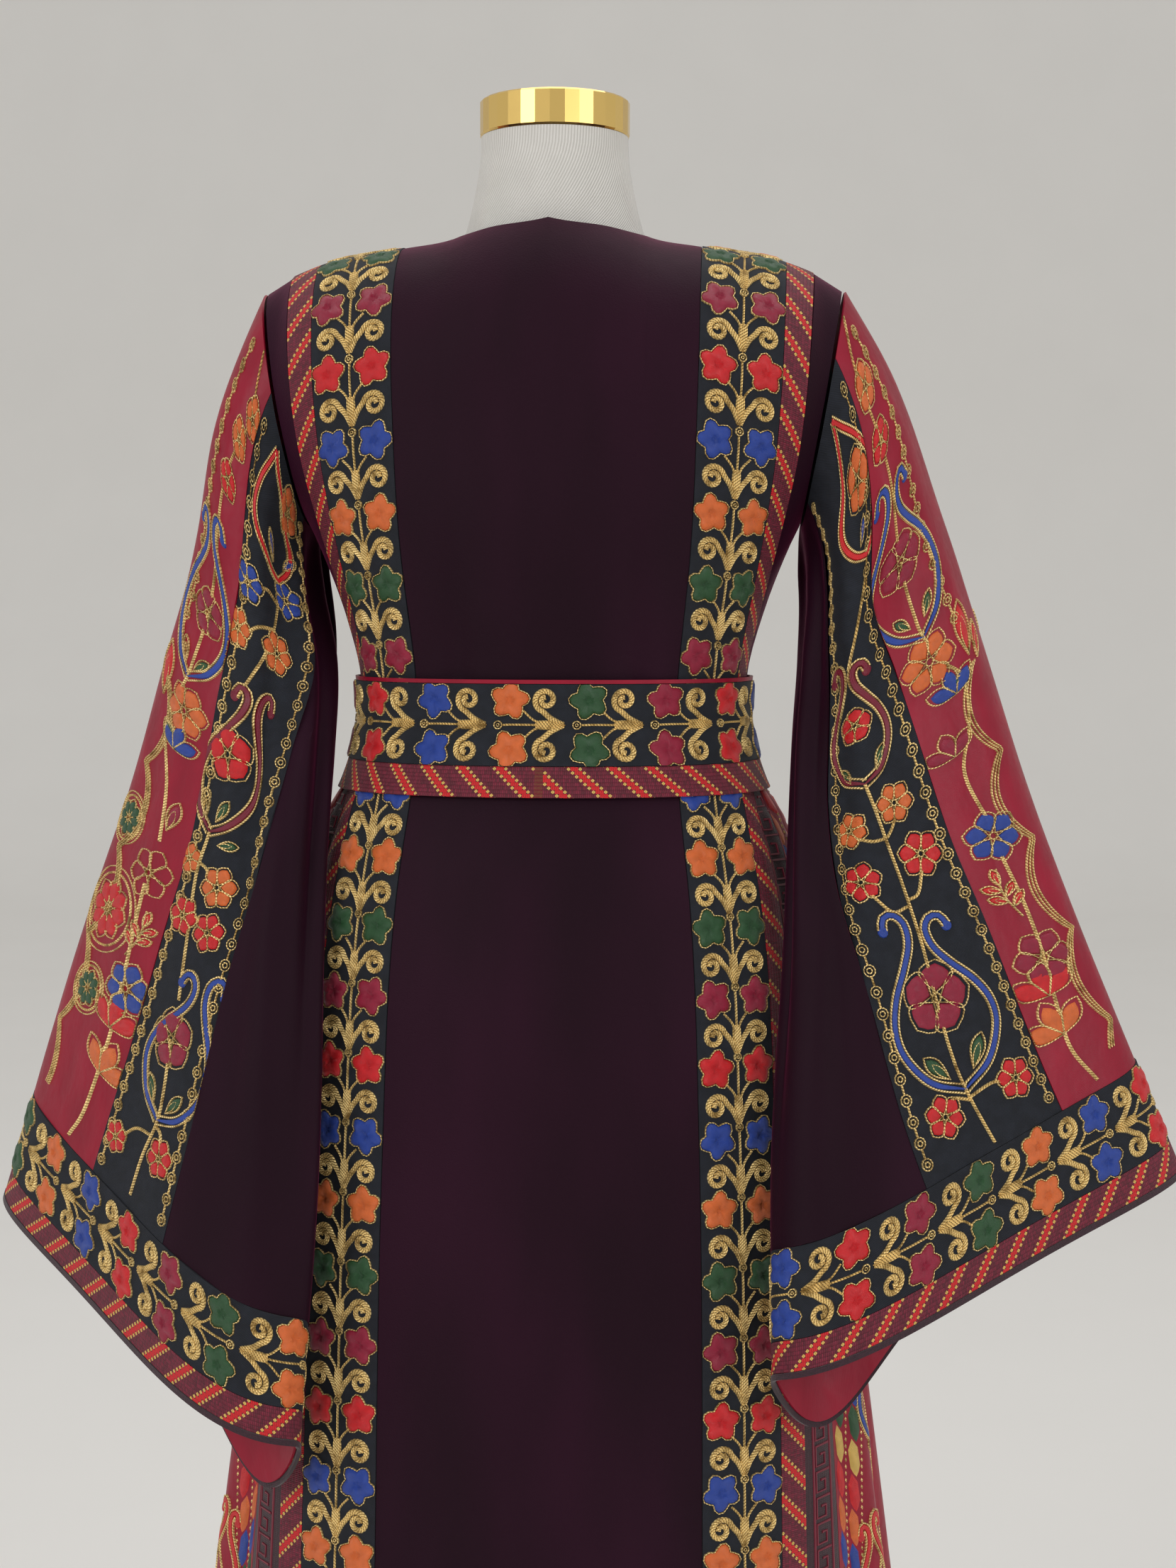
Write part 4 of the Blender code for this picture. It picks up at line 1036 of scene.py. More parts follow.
class Finish:
    """One material's nodes, built up step by step."""

    def __init__(self, name, **constants):
        self.material = bpy.data.materials.new(FINISH_PREFIX + name)
        self.material.use_nodes = True
        self.tree = self.material.node_tree
        self.shader = self.tree.nodes["Principled BSDF"]
        for socket, value in constants.items():
            self.shader.inputs[socket.replace("_", " ")].default_value = value

    def node(self, kind, **values):
        """A new node with its settings."""
        made = self.tree.nodes.new(kind)
        for key, value in values.items():
            setattr(made, key, value)
        return made

    def link(self, source, target):
        """Joins two sockets."""
        self.tree.links.new(source, target)

    def put(self, socket, value):
        """Gives a socket a value, or joins another socket to it."""
        if isinstance(value, bpy.types.NodeSocket):
            self.link(value, socket)
        elif value is not None:
            socket.default_value = value

    def math(self, operation, a, b=None, c=None):
        """One sum of up to three values or sockets."""
        made = self.node("ShaderNodeMath", operation=operation)
        for socket, value in zip(made.inputs, (a, b, c)):
            self.put(socket, value)
        return made.outputs[0]

    def colour(self, value):
        """The finish's base colour."""
        self.put(self.shader.inputs["Base Color"], value)

    def mix(self, share, a, b):
        """A blend from one colour to another."""
        made = self.node("ShaderNodeMix", data_type="RGBA")
        self.put(made.inputs[0], share)
        for socket, value in ((made.inputs[6], a), (made.inputs[7], b)):
            self.put(socket, (*value, 1.0) if isinstance(value, tuple) else value)
        return made.outputs[2]

    def noise(self, scale, detail=2.0, stretch=(1, 1, 1)):
        """Noise over the piece's place in metres."""
        mapping = self.node("ShaderNodeMapping")
        mapping.inputs["Scale"].default_value = stretch
        self.link(self.node("ShaderNodeTexCoord").outputs["Object"], mapping.inputs["Vector"])
        made = self.node("ShaderNodeTexNoise")
        made.inputs["Scale"].default_value = scale
        made.inputs["Detail"].default_value = detail
        self.link(mapping.outputs[0], made.inputs["Vector"])
        return made.outputs["Fac"]

    def flat(self):
        """The panel's own flat coordinates, across and along, in metres."""
        made = self.node("ShaderNodeUVMap", uv_map="flat")
        parts = self.node("ShaderNodeSeparateXYZ")
        self.link(made.outputs[0], parts.inputs[0])
        return parts.outputs[0], parts.outputs[1]

    def threads(self, *inputs):
        """The group of crossed threads: across, along, and the pitch each way."""
        made = self.node("ShaderNodeGroup", node_tree=bpy.data.node_groups["crossed threads"])
        for socket, value in zip(made.inputs, inputs):
            self.put(socket, value)
        return made.outputs

    def ramp(self, value, low, high):
        """A soft step from 0 at the low value to 1 at the high one."""
        made = self.node("ShaderNodeMapRange", interpolation_type="SMOOTHSTEP")
        self.put(made.inputs[0], value)
        made.inputs[1].default_value = low
        made.inputs[2].default_value = high
        return made.outputs[0]

    def relief(self, normal):
        """The finish's surface direction."""
        self.link(normal, self.shader.inputs["Normal"])

    def bump(self, height, strength, distance, under=None):
        """A relief of a height, laid over another one if given."""
        made = self.node("ShaderNodeBump")
        made.inputs["Strength"].default_value = strength
        made.inputs["Distance"].default_value = distance
        self.put(made.inputs["Height"], height)
        if under is not None:
            self.link(under, made.inputs["Normal"])
        return made.outputs[0]


def weave_group():
    """A node group: the height of threads that cross at a pitch, and a value that varies from cell to cell.

    The height is the square root of |sin| across times the same along.
    """
    tree = bpy.data.node_groups.new("crossed threads", "ShaderNodeTree")
    for name in ("Across", "Along", "Pitch across", "Pitch along"):
        tree.interface.new_socket(name, in_out="INPUT", socket_type="NodeSocketFloat")
    for name in ("Height", "Variation"):
        tree.interface.new_socket(name, in_out="OUTPUT", socket_type="NodeSocketFloat")
    ends = [tree.nodes.new("NodeGroupInput"), tree.nodes.new("NodeGroupOutput")]

    def math_node(operation, a, b=None):
        """One sum in the group."""
        made = tree.nodes.new("ShaderNodeMath")
        made.operation = operation
        for socket, value in zip(made.inputs, (a, b)):
            if isinstance(value, bpy.types.NodeSocket):
                tree.links.new(value, socket)
            elif value is not None:
                socket.default_value = value
        return made.outputs[0]

    heights, cells = [], []
    for k in (0, 1):
        turns = math_node("DIVIDE", ends[0].outputs[k], ends[0].outputs[k + 2])
        cells.append(math_node("FLOOR", turns))
        wave = math_node("SINE", math_node("MULTIPLY", math_node("FRACT", turns), math.pi))
        heights.append(math_node("POWER", math_node("ABSOLUTE", wave), 0.5))
    noise = tree.nodes.new("ShaderNodeTexWhiteNoise")
    noise.noise_dimensions = "2D"
    both = tree.nodes.new("ShaderNodeCombineXYZ")
    tree.links.new(cells[0], both.inputs[0])
    tree.links.new(cells[1], both.inputs[1])
    tree.links.new(both.outputs[0], noise.inputs["Vector"])
    tree.links.new(math_node("MULTIPLY", *heights), ends[1].inputs["Height"])
    tree.links.new(noise.outputs["Value"], ends[1].inputs["Variation"])


def velvet_finish(colours):
    """Short pile: dark to the front and brighter at a slant, with brushed patches."""
    f = Finish("velvet", Roughness=0.62, Sheen_Weight=1.0, Sheen_Roughness=0.34, Specular_IOR_Level=0.12)
    f.shader.inputs["Sheen Tint"].default_value = (*colours.velvet_sheen, 1.0)
    brushed = f.ramp(f.noise(7.0, 3.0, (1, 1, 0.35)), 0.35, 0.75)
    pile = f.noise(900.0, 2.0)
    f.colour(f.mix(brushed, shade(colours.velvet, 0.72), shade(colours.velvet, 1.45)))
    long = f.bump(f.noise(34.0, 2.0, (1, 1, 0.12)), 0.22, 0.004)
    f.relief(f.bump(pile, 0.35, 0.0006, long))


def twill_finish(colours):
    """Matt blue-black twill: fine slanting lines with painted shade between them, over a random uneven
    colour.
    """
    f = Finish("twill", Roughness=0.78, Sheen_Weight=0.08, Sheen_Roughness=0.4, Specular_IOR_Level=0.3)
    across, along = f.flat()
    lines = f.math("SINE", f.math("MULTIPLY", f.math("ADD", across, along), 2 * math.pi / 0.0012))
    uneven = f.math("ADD", f.math("MULTIPLY", lines, 0.25), f.noise(120.0, 3.0))
    share = f.ramp(uneven, 0.2, 0.95)
    # The colour is partly painted shade between the slanting lines and partly a random uneven colour.
    f.colour(f.mix(share, shade(colours.twill, 0.7), shade(colours.twill, 1.5)))
    soft = f.bump(f.noise(45.0, 2.0), 0.25, 0.003)
    f.relief(f.bump(lines, 0.30, 0.0003, soft))


def satin_finish(colours):
    """Glossy crimson satin: fine ribs of weft, and soft puckers between the stitching, with painted shade in
    their hollows and a painted highlight on their tops.
    """
    f = Finish("satin", Anisotropic=0.45, Specular_IOR_Level=0.28)
    along = f.flat()[1]
    ribs = f.math("SINE", f.math("MULTIPLY", along, 2 * math.pi / 0.0009))
    puckers = f.noise(42.0, 3.0, (1, 1, 0.6))
    # Painted shade and highlight: the colour follows the puckers' height, darker in the hollows and lighter
    # on the tops.
    f.colour(f.mix(puckers, shade(colours.satin, 0.72), shade(colours.satin, 1.35)))
    f.put(f.shader.inputs["Roughness"], f.math("MULTIPLY_ADD", f.noise(260.0), 0.16, 0.30))
    soft = f.bump(puckers, 0.45, 0.004)
    f.relief(f.bump(ribs, 0.12, 0.0002, soft))


def tape_finish(name, slant, colours, run=10.0, cell=0.00262):
    """Counted stitches on a maroon ground: slanting red bars two stitches wide, with gold dots on both edges.

    A bar starts every `run` stitches along and climbs one stitch for each stitch across.
    """
    f = Finish(name, Roughness=0.62, Sheen_Weight=0.05, Sheen_Roughness=0.4)
    across, along = f.flat()
    i = f.math("DIVIDE", across, cell)
    j = f.math("DIVIDE", along, cell)
    stitch = f.threads(across, along, cell, cell / 2)
    step_i = f.math("FLOOR", i)
    step_j = f.math("FLOOR", j)
    place = f.math("ADD", f.math("MULTIPLY", step_i, slant), step_j)
    at = f.math("FLOORED_MODULO", place, run)
    red = f.math("LESS_THAN", at, 1.5)
    edge = f.math("ADD", f.math("COMPARE", at, 2.0, 0.5), f.math("COMPARE", at, run - 1.0, 0.5))
    middle_i = f.math("ABSOLUTE", f.math("SUBTRACT", f.math("FRACT", i), 0.5))
    middle_j = f.math("ABSOLUTE", f.math("SUBTRACT", f.math("FRACT", j), 0.5))
    dot = f.math("LESS_THAN", f.math("ADD", middle_i, middle_j), 0.52)
    gold = f.math("MULTIPLY", f.math("MINIMUM", edge, 1.0), dot)
    ground = f.mix(stitch["Variation"], shade(colours.tape, 0.62), shade(colours.tape, 1.25))
    # Painted shade: the ground turns dark where the stitches dip, between them.
    ground = f.mix(f.ramp(stitch["Height"], 0.0, 0.45), shade(colours.tape, 0.25), ground)
    colour = f.mix(red, ground, COLOURS["red"])
    colour = f.mix(gold, colour, COLOURS["gold"])
    f.colour(colour)
    raised = f.math("ADD", stitch["Height"], f.math("MULTIPLY", gold, 0.6))
    f.relief(f.bump(raised, 0.9, 0.0007))


def stitched_finish(name, base, pitch=0.0013):
    """Plain cloth of fine crossed threads, with painted shade between the threads and a random uneven colour
    from stitch to stitch.
    """
    f = Finish(name, Roughness=0.78, Sheen_Weight=0.3, Sheen_Roughness=0.45)
    across, along = f.flat()
    stitch = f.threads(across, along, pitch, pitch)
    # Painted shade between the threads, times a random uneven colour for each stitch.
    share = f.math("MULTIPLY", stitch["Height"], f.math("ADD", stitch["Variation"], 0.3))
    f.colour(f.mix(share, shade(base, 0.5), shade(base, 1.5)))
    f.relief(f.bump(stitch["Height"], 0.6, 0.0004))


def gold_finish():
    """Gilt cord: two strands twisted together, with painted shade in the hollows between the strands and a
    random uneven colour.
    """
    f = Finish("gold_cord", Metallic=0.45)
    across, along = f.flat()
    turns = f.math("ADD", f.math("MULTIPLY", along, 1 / 0.0021), f.math("MULTIPLY", across, 1 / 0.0026))
    strand = f.math("ABSOLUTE", f.math("SINE", f.math("MULTIPLY", turns, math.pi)))
    age = f.noise(160.0, 3.0)
    # Painted shade: the hollows between the strands turn this dark gold and their crests a brighter gold; the
    # noise adds a random uneven colour.
    dark = (0.300, 0.180, 0.050)
    lit = f.math("MULTIPLY", f.ramp(strand, 0.05, 0.75), f.ramp(age, 0.2, 0.6))
    f.colour(f.mix(lit, dark, shade(GOLD_THREAD, 1.12)))
    f.put(f.shader.inputs["Roughness"], f.math("MULTIPLY_ADD", age, 0.22, 0.24))
    f.relief(f.bump(strand, 0.8, 0.0005))


def silk_finish():
    """Floss in satin stitch: fine lines that follow each petal, in the thread's own colour with painted shade
    between the lines and a random uneven colour.
    """
    f = Finish("silk_floss", Roughness=0.42, Sheen_Weight=0.05, Sheen_Roughness=0.35, Anisotropic=0.4)
    across = f.flat()[0]
    thread = f.node("ShaderNodeVertexColor", layer_name="thread").outputs["Color"]
    lines = f.math("SINE", f.math("MULTIPLY", across, 2 * math.pi / 0.0011))
    # Painted shade: the colour darkens between the stitch lines, and the noise adds a random uneven colour.
    line_shade = f.math("MULTIPLY_ADD", lines, 0.14, 0.5)
    share = f.math("MULTIPLY_ADD", f.noise(210.0, 3.0), 0.5, f.math("MULTIPLY", line_shade, 0.6))
    darker = f.node("ShaderNodeMix", data_type="RGBA", blend_type="MULTIPLY")
    darker.inputs[0].default_value = 1.0
    f.link(thread, darker.inputs[6])
    f.link(f.mix(share, (0.45, 0.45, 0.45), (1.35, 1.35, 1.35)), darker.inputs[7])
    f.colour(darker.outputs[2])
    f.relief(f.bump(lines, 0.45, 0.0004))


def jersey_finish():
    """Off-white jersey with fine upright ribs, painted shade in the hollows between them, and a random uneven
    colour.
    """
    f = Finish("jersey", Roughness=0.82, Sheen_Weight=0.25, Sheen_Roughness=0.5)
    across = f.flat()[0]
    ribs = f.math("SINE", f.math("MULTIPLY", across, 2 * math.pi / 0.0021))
    base = f.mix(f.noise(60.0, 3.0), (0.66, 0.64, 0.60), (0.80, 0.78, 0.74))
    # Painted shade: the hollows between the ribs are darker.
    base = f.mix(f.ramp(ribs, -1.0, 0.2), (0.56, 0.54, 0.50), base)
    f.colour(base)
    f.relief(f.bump(ribs, 0.5, 0.0005))


def metal_finish(name, base, roughness, brushed, wear):
    """Metal: polished or brushed level, with faint smears."""
    f = Finish(name, Metallic=1.0)
    smears = f.noise(14.0, 4.0, (1, 1, brushed))
    f.colour(f.mix(smears, shade(base, 0.86), base))
    f.put(f.shader.inputs["Roughness"], f.math("MULTIPLY_ADD", smears, wear, roughness))
    f.relief(f.bump(f.noise(30.0, 2.0, (1, 1, brushed)), 0.04, 0.001))


def room_finish(name, base):
    """Plain pale matt surface of the studio."""
    f = Finish(name, Roughness=0.92)
    f.colour(f.mix(f.noise(3.0, 2.0), shade(base, 0.96), base))


# Motifs


def beside_path(path):
    """The direction to the right of a path at each of its points."""
    along = np.gradient(path, axis=0)
    along /= np.linalg.norm(along, axis=1, keepdims=True)
    return np.stack([along[:, 1], -along[:, 0]], -1)


def lyre(gold, silk, width, height, colour):
    """An open pear of two arms that meet at its foot and curl outwards at the top."""
    half = [(0.0, 0.0), (0.30, 0.10), (0.48, 0.27), (0.50, 0.42), (0.40, 0.57), (0.23, 0.71)]
    curl = [(0.11, 0.83), (0.09, 0.94), (0.17, 1.00), (0.27, 0.99), (0.31, 0.93)]
    for side in (-1, 1):
        reach = 1.0 if side > 0 else 0.93
        points = np.array(half + curl) * np.array([side * width, -height * reach])
        path = curve(points, 40)
        ease = np.clip(np.linspace(0.3, 6, 40), 0, 1)
        floss = np.array([(-0.0021, -0.0002), (-0.0014, 0.0013), (0.0014, 0.0013), (0.0021, -0.0002)])
        ribbon(silk, path, floss, taper=ease, colour=COLOURS[colour])
        for edge in (-1, 1):
            ribbon(gold, path + edge * 0.0028 * beside_path(path), rows_profile(1, 0.0017, 0.0013))
        dome(silk, ring_path(0.0038, 10, points[-1] + np.array([0.0, 0.001])), 0.0016, COLOURS[colour])


def teardrop(gold, silk, width, height, colour):
    """A closed pear with its point at the top: a line of floss between two cords."""
    half = [(0.0, 0.0), (0.28, 0.10), (0.47, 0.28), (0.48, 0.48), (0.32, 0.70), (0.12, 0.88), (0.0, 1.0)]
    for side in (-1, 1):
        path = curve(np.array(half) * np.array([side * width, -height]), 34)
        floss = np.array([(-0.0016, -0.0002), (-0.0011, 0.0012), (0.0011, 0.0012), (0.0016, -0.0002)])
        ribbon(silk, path, floss, colour=COLOURS[colour])
        for edge in (-1, 1):
            ribbon(gold, path + edge * 0.0024 * beside_path(path), rows_profile(1, 0.0017, 0.0012))


def leaf(gold, silk, length, colour):
    """A leaf: padded floss in a loop of cord, its foot at 0 and its tip up the panel."""
    outline = petal_outline(length, length * 0.42) * np.array([1.0, -1.0])
    outline = outline[::-1]
    if colour:
        dome(silk, outline * np.array([0.80, 0.84]) + np.array([0, -length * 0.08]), 0.0013, COLOURS[colour])
    ribbon(gold, outline, rows_profile(1, 0.0013, 0.0012), closed=True)
    ribbon(gold, outline * np.array([0.45, 0.7]), rows_profile(1, 0.0010, 0.0013), closed=True)


def tulip(gold, silk, radius, colour, petals=3):
    """A flower seen from the side: three petals fanned out from one foot."""
    for k in range(petals):
        one_gold, one_silk = Trim(), Trim()
        turn = math.pi + (k - (petals - 1) / 2) * 0.95
        outline = petal_outline(radius * 1.25, radius * 0.64)
        dome(one_silk, outline * 0.86, 0.0016, COLOURS[colour], lines=1.5)
        ribbon(one_gold, outline, rows_profile(1, 0.0012, 0.0011), closed=True)
        gold.put(one_gold, turn=turn)
        silk.put(one_silk, turn=turn)


def sprig(gold, silk, length, colour, leaves=5):
    """A bent stem with small leaves in pairs."""
    stem = curve([(0, 0), (length * 0.10, -length * 0.5), (0, -length)], 10)
    ribbon(gold, stem, rows_profile(1, 0.0013, 0.0011))
    for k in range(leaves):
        at = stem[min(9, 2 + 2 * (k // 2) + k % 2)]
        one_gold, one_silk = Trim(), Trim()
        leaf(one_gold, one_silk, length * 0.36, colour)
        turn = (0.9 if k % 2 else -0.9) if k < leaves - 1 else 0.0
        gold.put(one_gold, *at, turn=turn)
        silk.put(one_silk, *at, turn=turn)


def stem(gold, points, count=14, rows=1):
    """A couched stem through a few points."""
    ribbon(gold, curve(points, count), rows_profile(rows, 0.0013, 0.0011))


def wavy_cords(gold, across, length, start=0.0, amplitude=0.010, pitch=0.060, cords=3, inward=-1):
    """Cords side by side in scallops: |sin| waves with round bulges and narrow waists."""
    t = np.linspace(start, length, int((length - start) / 0.0030))
    wave = np.abs(np.sin(math.pi * (t - start) / pitch)) ** 0.7
    for k in range(cords):
        x = across + inward * (amplitude * wave + k * 0.0024)
        ribbon(gold, np.stack([x, t], -1), rows_profile(1, 0.0013, 0.0011))


def start_beside(panel, inset):
    """Where down the panel a line at this distance from its edge has room, below the belt."""
    room = panel.run[(panel.widths / 2 > inset + 0.008) & (panel.run > 0.035)]
    return room[0] if len(room) else panel.length


def lozenge_band(silk, panel, side, inset, colours=("red", "orange", "blue", "green", "gold")):
    """Pointed feathers of floss one after the other beside a panel's edge, their colours in turn."""
    pitch, wide = 0.0235, 0.0100
    right = [(0, -0.55), (0.5, -0.25), (0.5, 0.30), (0.25, 0.50)]
    left = [(0, 0.62), (-0.25, 0.50), (-0.5, 0.30), (-0.5, -0.25)]
    outline = np.array(right + left) * np.array([wide, pitch])
    start = start_beside(panel, inset)
    for k in range(int((panel.length - 0.004 - start) / pitch)):
        at = start + (k + 0.5) * pitch
        middle = np.array([edge_line(panel, side, inset, at), at])
        colour = COLOURS[colours[k % len(colours)]]
        dome(silk, outline + middle, 0.0012, colour, rings=((0.75, 0.9), (1.0, -0.1)))


def stitch_line(gold, panel, side, inset, pitch=0.0046):
    """A row of short gold stitches beside a panel's edge."""
    one = Trim()
    edge = [(-0.0011, 0, 0), (0, -0.0017, 0), (0.0011, 0, 0), (0, 0.0017, 0)]
    corners = np.array(edge + [(0, 0, 0.0011), (0, 0, -0.0003)])
    tris = [(0, 1, 4), (1, 2, 4), (2, 3, 4), (3, 0, 4), (1, 0, 5), (2, 1, 5), (3, 2, 5), (0, 3, 5)]
    one.add(corners, [], tris, corners[:, :2])
    start = start_beside(panel, inset)
    for k in range(int((panel.length - 0.004 - start) / pitch)):
        at = start + (k + 0.5) * pitch
        gold.put(one, edge_line(panel, side, inset, at), at)


def key_band(silk, across, length, start, mirror=1.0, pitch=0.0172, wide=0.0145):
    """A meander of counted stitches: each turn climbs, crosses, drops and coils inwards."""
    turn = np.array([(0.5, 0.04), (-0.5, 0.04), (-0.5, 0.80), (0.18, 0.80), (0.18, 0.38), (-0.16, 0.38)])
    bar = np.array([(-0.0009, -0.0002), (-0.0007, 0.0008), (0.0007, 0.0008), (0.0009, -0.0002)])
    for k in range(int((length - start) / pitch)):
        path = turn * np.array([mirror * wide, pitch]) + np.array([across, start + k * pitch])
        ribbon(silk, path, bar, colour=COLOURS["maroon"])
    edge = np.linspace(start, length - 0.002, 60)
    for side in (-1, 1):
        path = np.stack([np.full(60, across + side * wide * 0.66), edge], -1)
        ribbon(silk, path, bar, colour=COLOURS["maroon"])


# Where the motifs lie on the sleeves, in millimetres across from the panel's middle and down from the armhole
# Columns: kind, across, down, turn, size, height or number of petals, colour; an empty colour leaves it open

TWILL_MOTIFS = {
    "right": (
        ("tear", -22, 98, 0.05, 48, 90, "red"),
        ("flower", -22, 52, 0.2, 18, 5, "orange"),
        ("leaf", -14, 88, -0.5, 17, 0, "blue"),
        ("lyre", 6, 236, 0.00, 44, 84, "maroon"),
        ("flower", 6, 196, 0.5, 12, 5, "red"),
        ("leaf", -3, 230, -0.5, 17, 0, "green"),
        ("leaf", 14, 232, 0.5, 15, 0, "green"),
        ("flower", -11, 255, 0.3, 14, 6, "orange"),
        ("flower", 22, 262, 0.0, 13, 6, "orange"),
        ("flower", -20, 292, 0.2, 16, 6, "red"),
        ("flower", 24, 298, 0.6, 14, 6, "red"),
        ("lyre", 5, 446, -0.03, 72, 122, "blue"),
        ("flower", 4, 384, 0.3, 25, 5, "crimson"),
        ("leaf", 13, 436, 0.6, 24, 0, "green"),
        ("leaf", -5, 436, -0.6, 24, 0, "green"),
        ("flower", -31, 454, 0.2, 15, 6, "red"),
        ("flower", 26, 456, 0.0, 15, 6, "red"),
    ),
    "left": (
        ("tear", 7, 74, -0.35, 52, 72, "red"),
        ("flower", 17, 18, 0.2, 17, 5, "orange"),
        ("leaf", -2, 66, -0.5, 18, 0, "blue"),
        ("leaf", 14, 62, 0.8, 18, 0, "blue"),
        ("flower", -27, 99, 0.3, 13, 6, "blue"),
        ("flower", 14, 84, 0.0, 14, 6, "blue"),
        ("flower", -30, 131, 0.2, 13, 6, "orange"),
        ("flower", 4, 126, 0.5, 15, 6, "orange"),
        ("lyre", -16, 260, 0.12, 44, 104, "maroon"),
        ("flower", -14, 207, 0.3, 19, 5, "red"),
        ("leaf", -12, 252, 0.4, 18, 0, "green"),
        ("leaf", -22, 252, -0.3, 18, 0, ""),
        ("leaf", -6, 266, 1.3, 15, 0, "green"),
        ("flower", -27, 282, 0.0, 11, 6, "orange"),
        ("flower", 3, 292, 0.2, 15, 6, "orange"),
        ("flower", -19, 319, 0.5, 14, 6, "red"),
        ("flower", 7, 322, 0.1, 14, 6, "red"),
        ("lyre", 7, 452, 0.10, 62, 106, "blue"),
        ("flower", 1, 398, 0.3, 21, 5, "crimson"),
        ("leaf", 14, 444, 0.6, 20, 0, "green"),
        ("leaf", -1, 444, -0.6, 20, 0, "green"),
        ("flower", 20, 473, 0.2, 14, 6, "red"),
        ("flower", -30, 484, 0.0, 12, 6, "red"),
    ),
}
SATIN_MOTIFS = {
    "right": (
        ("flower", 61, 33, 0.2, 14, 5, "orange"),
        ("flower", 65, 67, 0.0, 13, 5, "red"),
        ("lyre", 60, 222, 0.03, 56, 128, "blue"),
        ("flower", 62, 160, 0.3, 20, 5, "crimson"),
        ("leaf", 66, 210, 0.6, 17, 0, "green"),
        ("leaf", 55, 210, -0.6, 17, 0, "green"),
        ("flower", 62, 240, 0.3, 21, 6, "orange"),
        ("leaf", 34, 256, -0.2, 38, 0, "red"),
        ("leaf", 26, 262, -0.5, 26, 0, "red"),
        ("leaf", 44, 264, 1.9, 16, 0, "green"),
        ("tulip", 52, 274, 0.1, 18, 3, "blue"),
        ("tulip", 65, 316, 0.2, 17, 3, "crimson"),
        ("flower", 59, 382, 0.1, 19, 6, "blue"),
        ("sprig", 62, 440, 0.1, 36, 5, "red"),
        ("flower", 61, 470, 0.4, 19, 6, "crimson"),
        ("tulip", 68, 494, 0.0, 20, 3, "red"),
        ("tulip", 70, 520, 0.2, 20, 3, "orange"),
    ),
    "left": (
        ("flower", 80, 26, 0.2, 12, 5, "orange"),
        ("flower", 71, 50, 0.0, 12, 5, "orange"),
        ("flower", 66, 84, 0.4, 12, 5, "red"),
        ("lyre", 56, 248, -0.05, 50, 126, "blue"),
        ("flower", 58, 195, 0.3, 17, 5, "crimson"),
        ("leaf", 60, 240, 0.6, 17, 0, "green"),
        ("leaf", 50, 240, -0.5, 17, 0, ""),
        ("flower", 61, 272, 0.3, 20, 6, "orange"),
        ("leaf", 34, 276, -0.2, 38, 0, "red"),
        ("leaf", 44, 290, 1.9, 16, 0, "green"),
        ("tulip", 60, 304, 0.1, 18, 3, "blue"),
        ("leaf", 74, 362, 0.1, 24, 0, "crimson"),
        ("flower", 74, 396, 0.2, 18, 6, ""),
        ("rosette", 34, 372, 0.0, 14, 8, "green"),
        ("rosette", 48, 436, 0.0, 22, 8, "red"),
        ("rosette", 56, 492, 0.0, 13, 8, "green"),
        ("sprig", 80, 454, 0.1, 34, 5, "red"),
        ("flower", 89, 473, 0.1, 18, 6, "blue"),
        ("tulip", 88, 502, 0.0, 20, 3, "red"),
        ("tulip", 92, 532, 0.2, 20, 3, "orange"),
    ),
}
TWILL_STEMS = {
    "right": (
        ((-21, 100), (-10, 130), (4, 158)),
        ((6, 236), (2, 262), (-2, 300), (0, 340), (4, 380)),
        ((-1, 275), (-6, 270), (-11, 262)),
        ((0, 275), (10, 274), (20, 268)),
        ((-1, 318), (-10, 316), (-18, 302)),
        ((0, 322), (12, 322), (22, 306)),
        ((4, 380), (6, 420), (5, 446), (0, 486)),
        ((4, 452), (-14, 450), (-24, 454)),
        ((4, 454), (16, 448), (22, 456)),
    ),
    "left": (
        ((7, 74), (2, 100), (-8, 140), (-16, 170)),
        ((4, 92), (-10, 92), (-20, 98)),
        ((0, 112), (-14, 120), (-22, 130)),
        ((-16, 260), (-18, 290), (-10, 330), (-2, 372)),
        ((-17, 282), (-10, 284), (-4, 290)),
        ((-13, 318), (-6, 316), (0, 320)),
        ((0, 398), (6, 430), (8, 452), (2, 480), (0, 510)),
        ((7, 456), (14, 458), (18, 466)),
        ((5, 464), (-12, 468), (-24, 480)),
    ),
}
SATIN_STEMS = {
    "right": (
        ((44, 0), (60, 14), (66, 30), (66, 58), (63, 96), (62, 150)),
        ((62, 160), (61, 200), (60, 222), (52, 250), (44, 266), (50, 300), (62, 330), (58, 372)),
        ((59, 392), (58, 430), (60, 462), (66, 500), (70, 530), (64, 556)),
    ),
    "left": (
        ((60, 0), (72, 16), (78, 30), (66, 70), (60, 110), (58, 190)),
        ((58, 195), (57, 230), (56, 248), (48, 276), (46, 296), (62, 330), (72, 372)),
        ((74, 404), (80, 440), (86, 476), (90, 510), (90, 560), (84, 584)),
    ),
}
TWILL_FRONT_MOTIFS = (
    ("flower", 2, 40, 0.2, 15, 6, "orange"),
    ("flower", -10, 92, 0.4, 13, 6, "blue"),
    ("lyre", 0, 214, 0.03, 46, 98, "maroon"),
    ("flower", 0, 166, 0.3, 17, 5, "red"),
    ("flower", -13, 246, 0.0, 13, 6, "orange"),
    ("flower", 14, 272, 0.2, 14, 6, "red"),
    ("lyre", 0, 424, -0.04, 64, 116, "blue"),
    ("flower", 0, 368, 0.3, 22, 5, "crimson"),
    ("leaf", 8, 414, 0.6, 20, 0, "green"),
    ("leaf", -8, 414, -0.6, 20, 0, "green"),
    ("flower", -24, 444, 0.2, 13, 6, "red"),
    ("flower", 24, 446, 0.1, 13, 6, "red"),
)


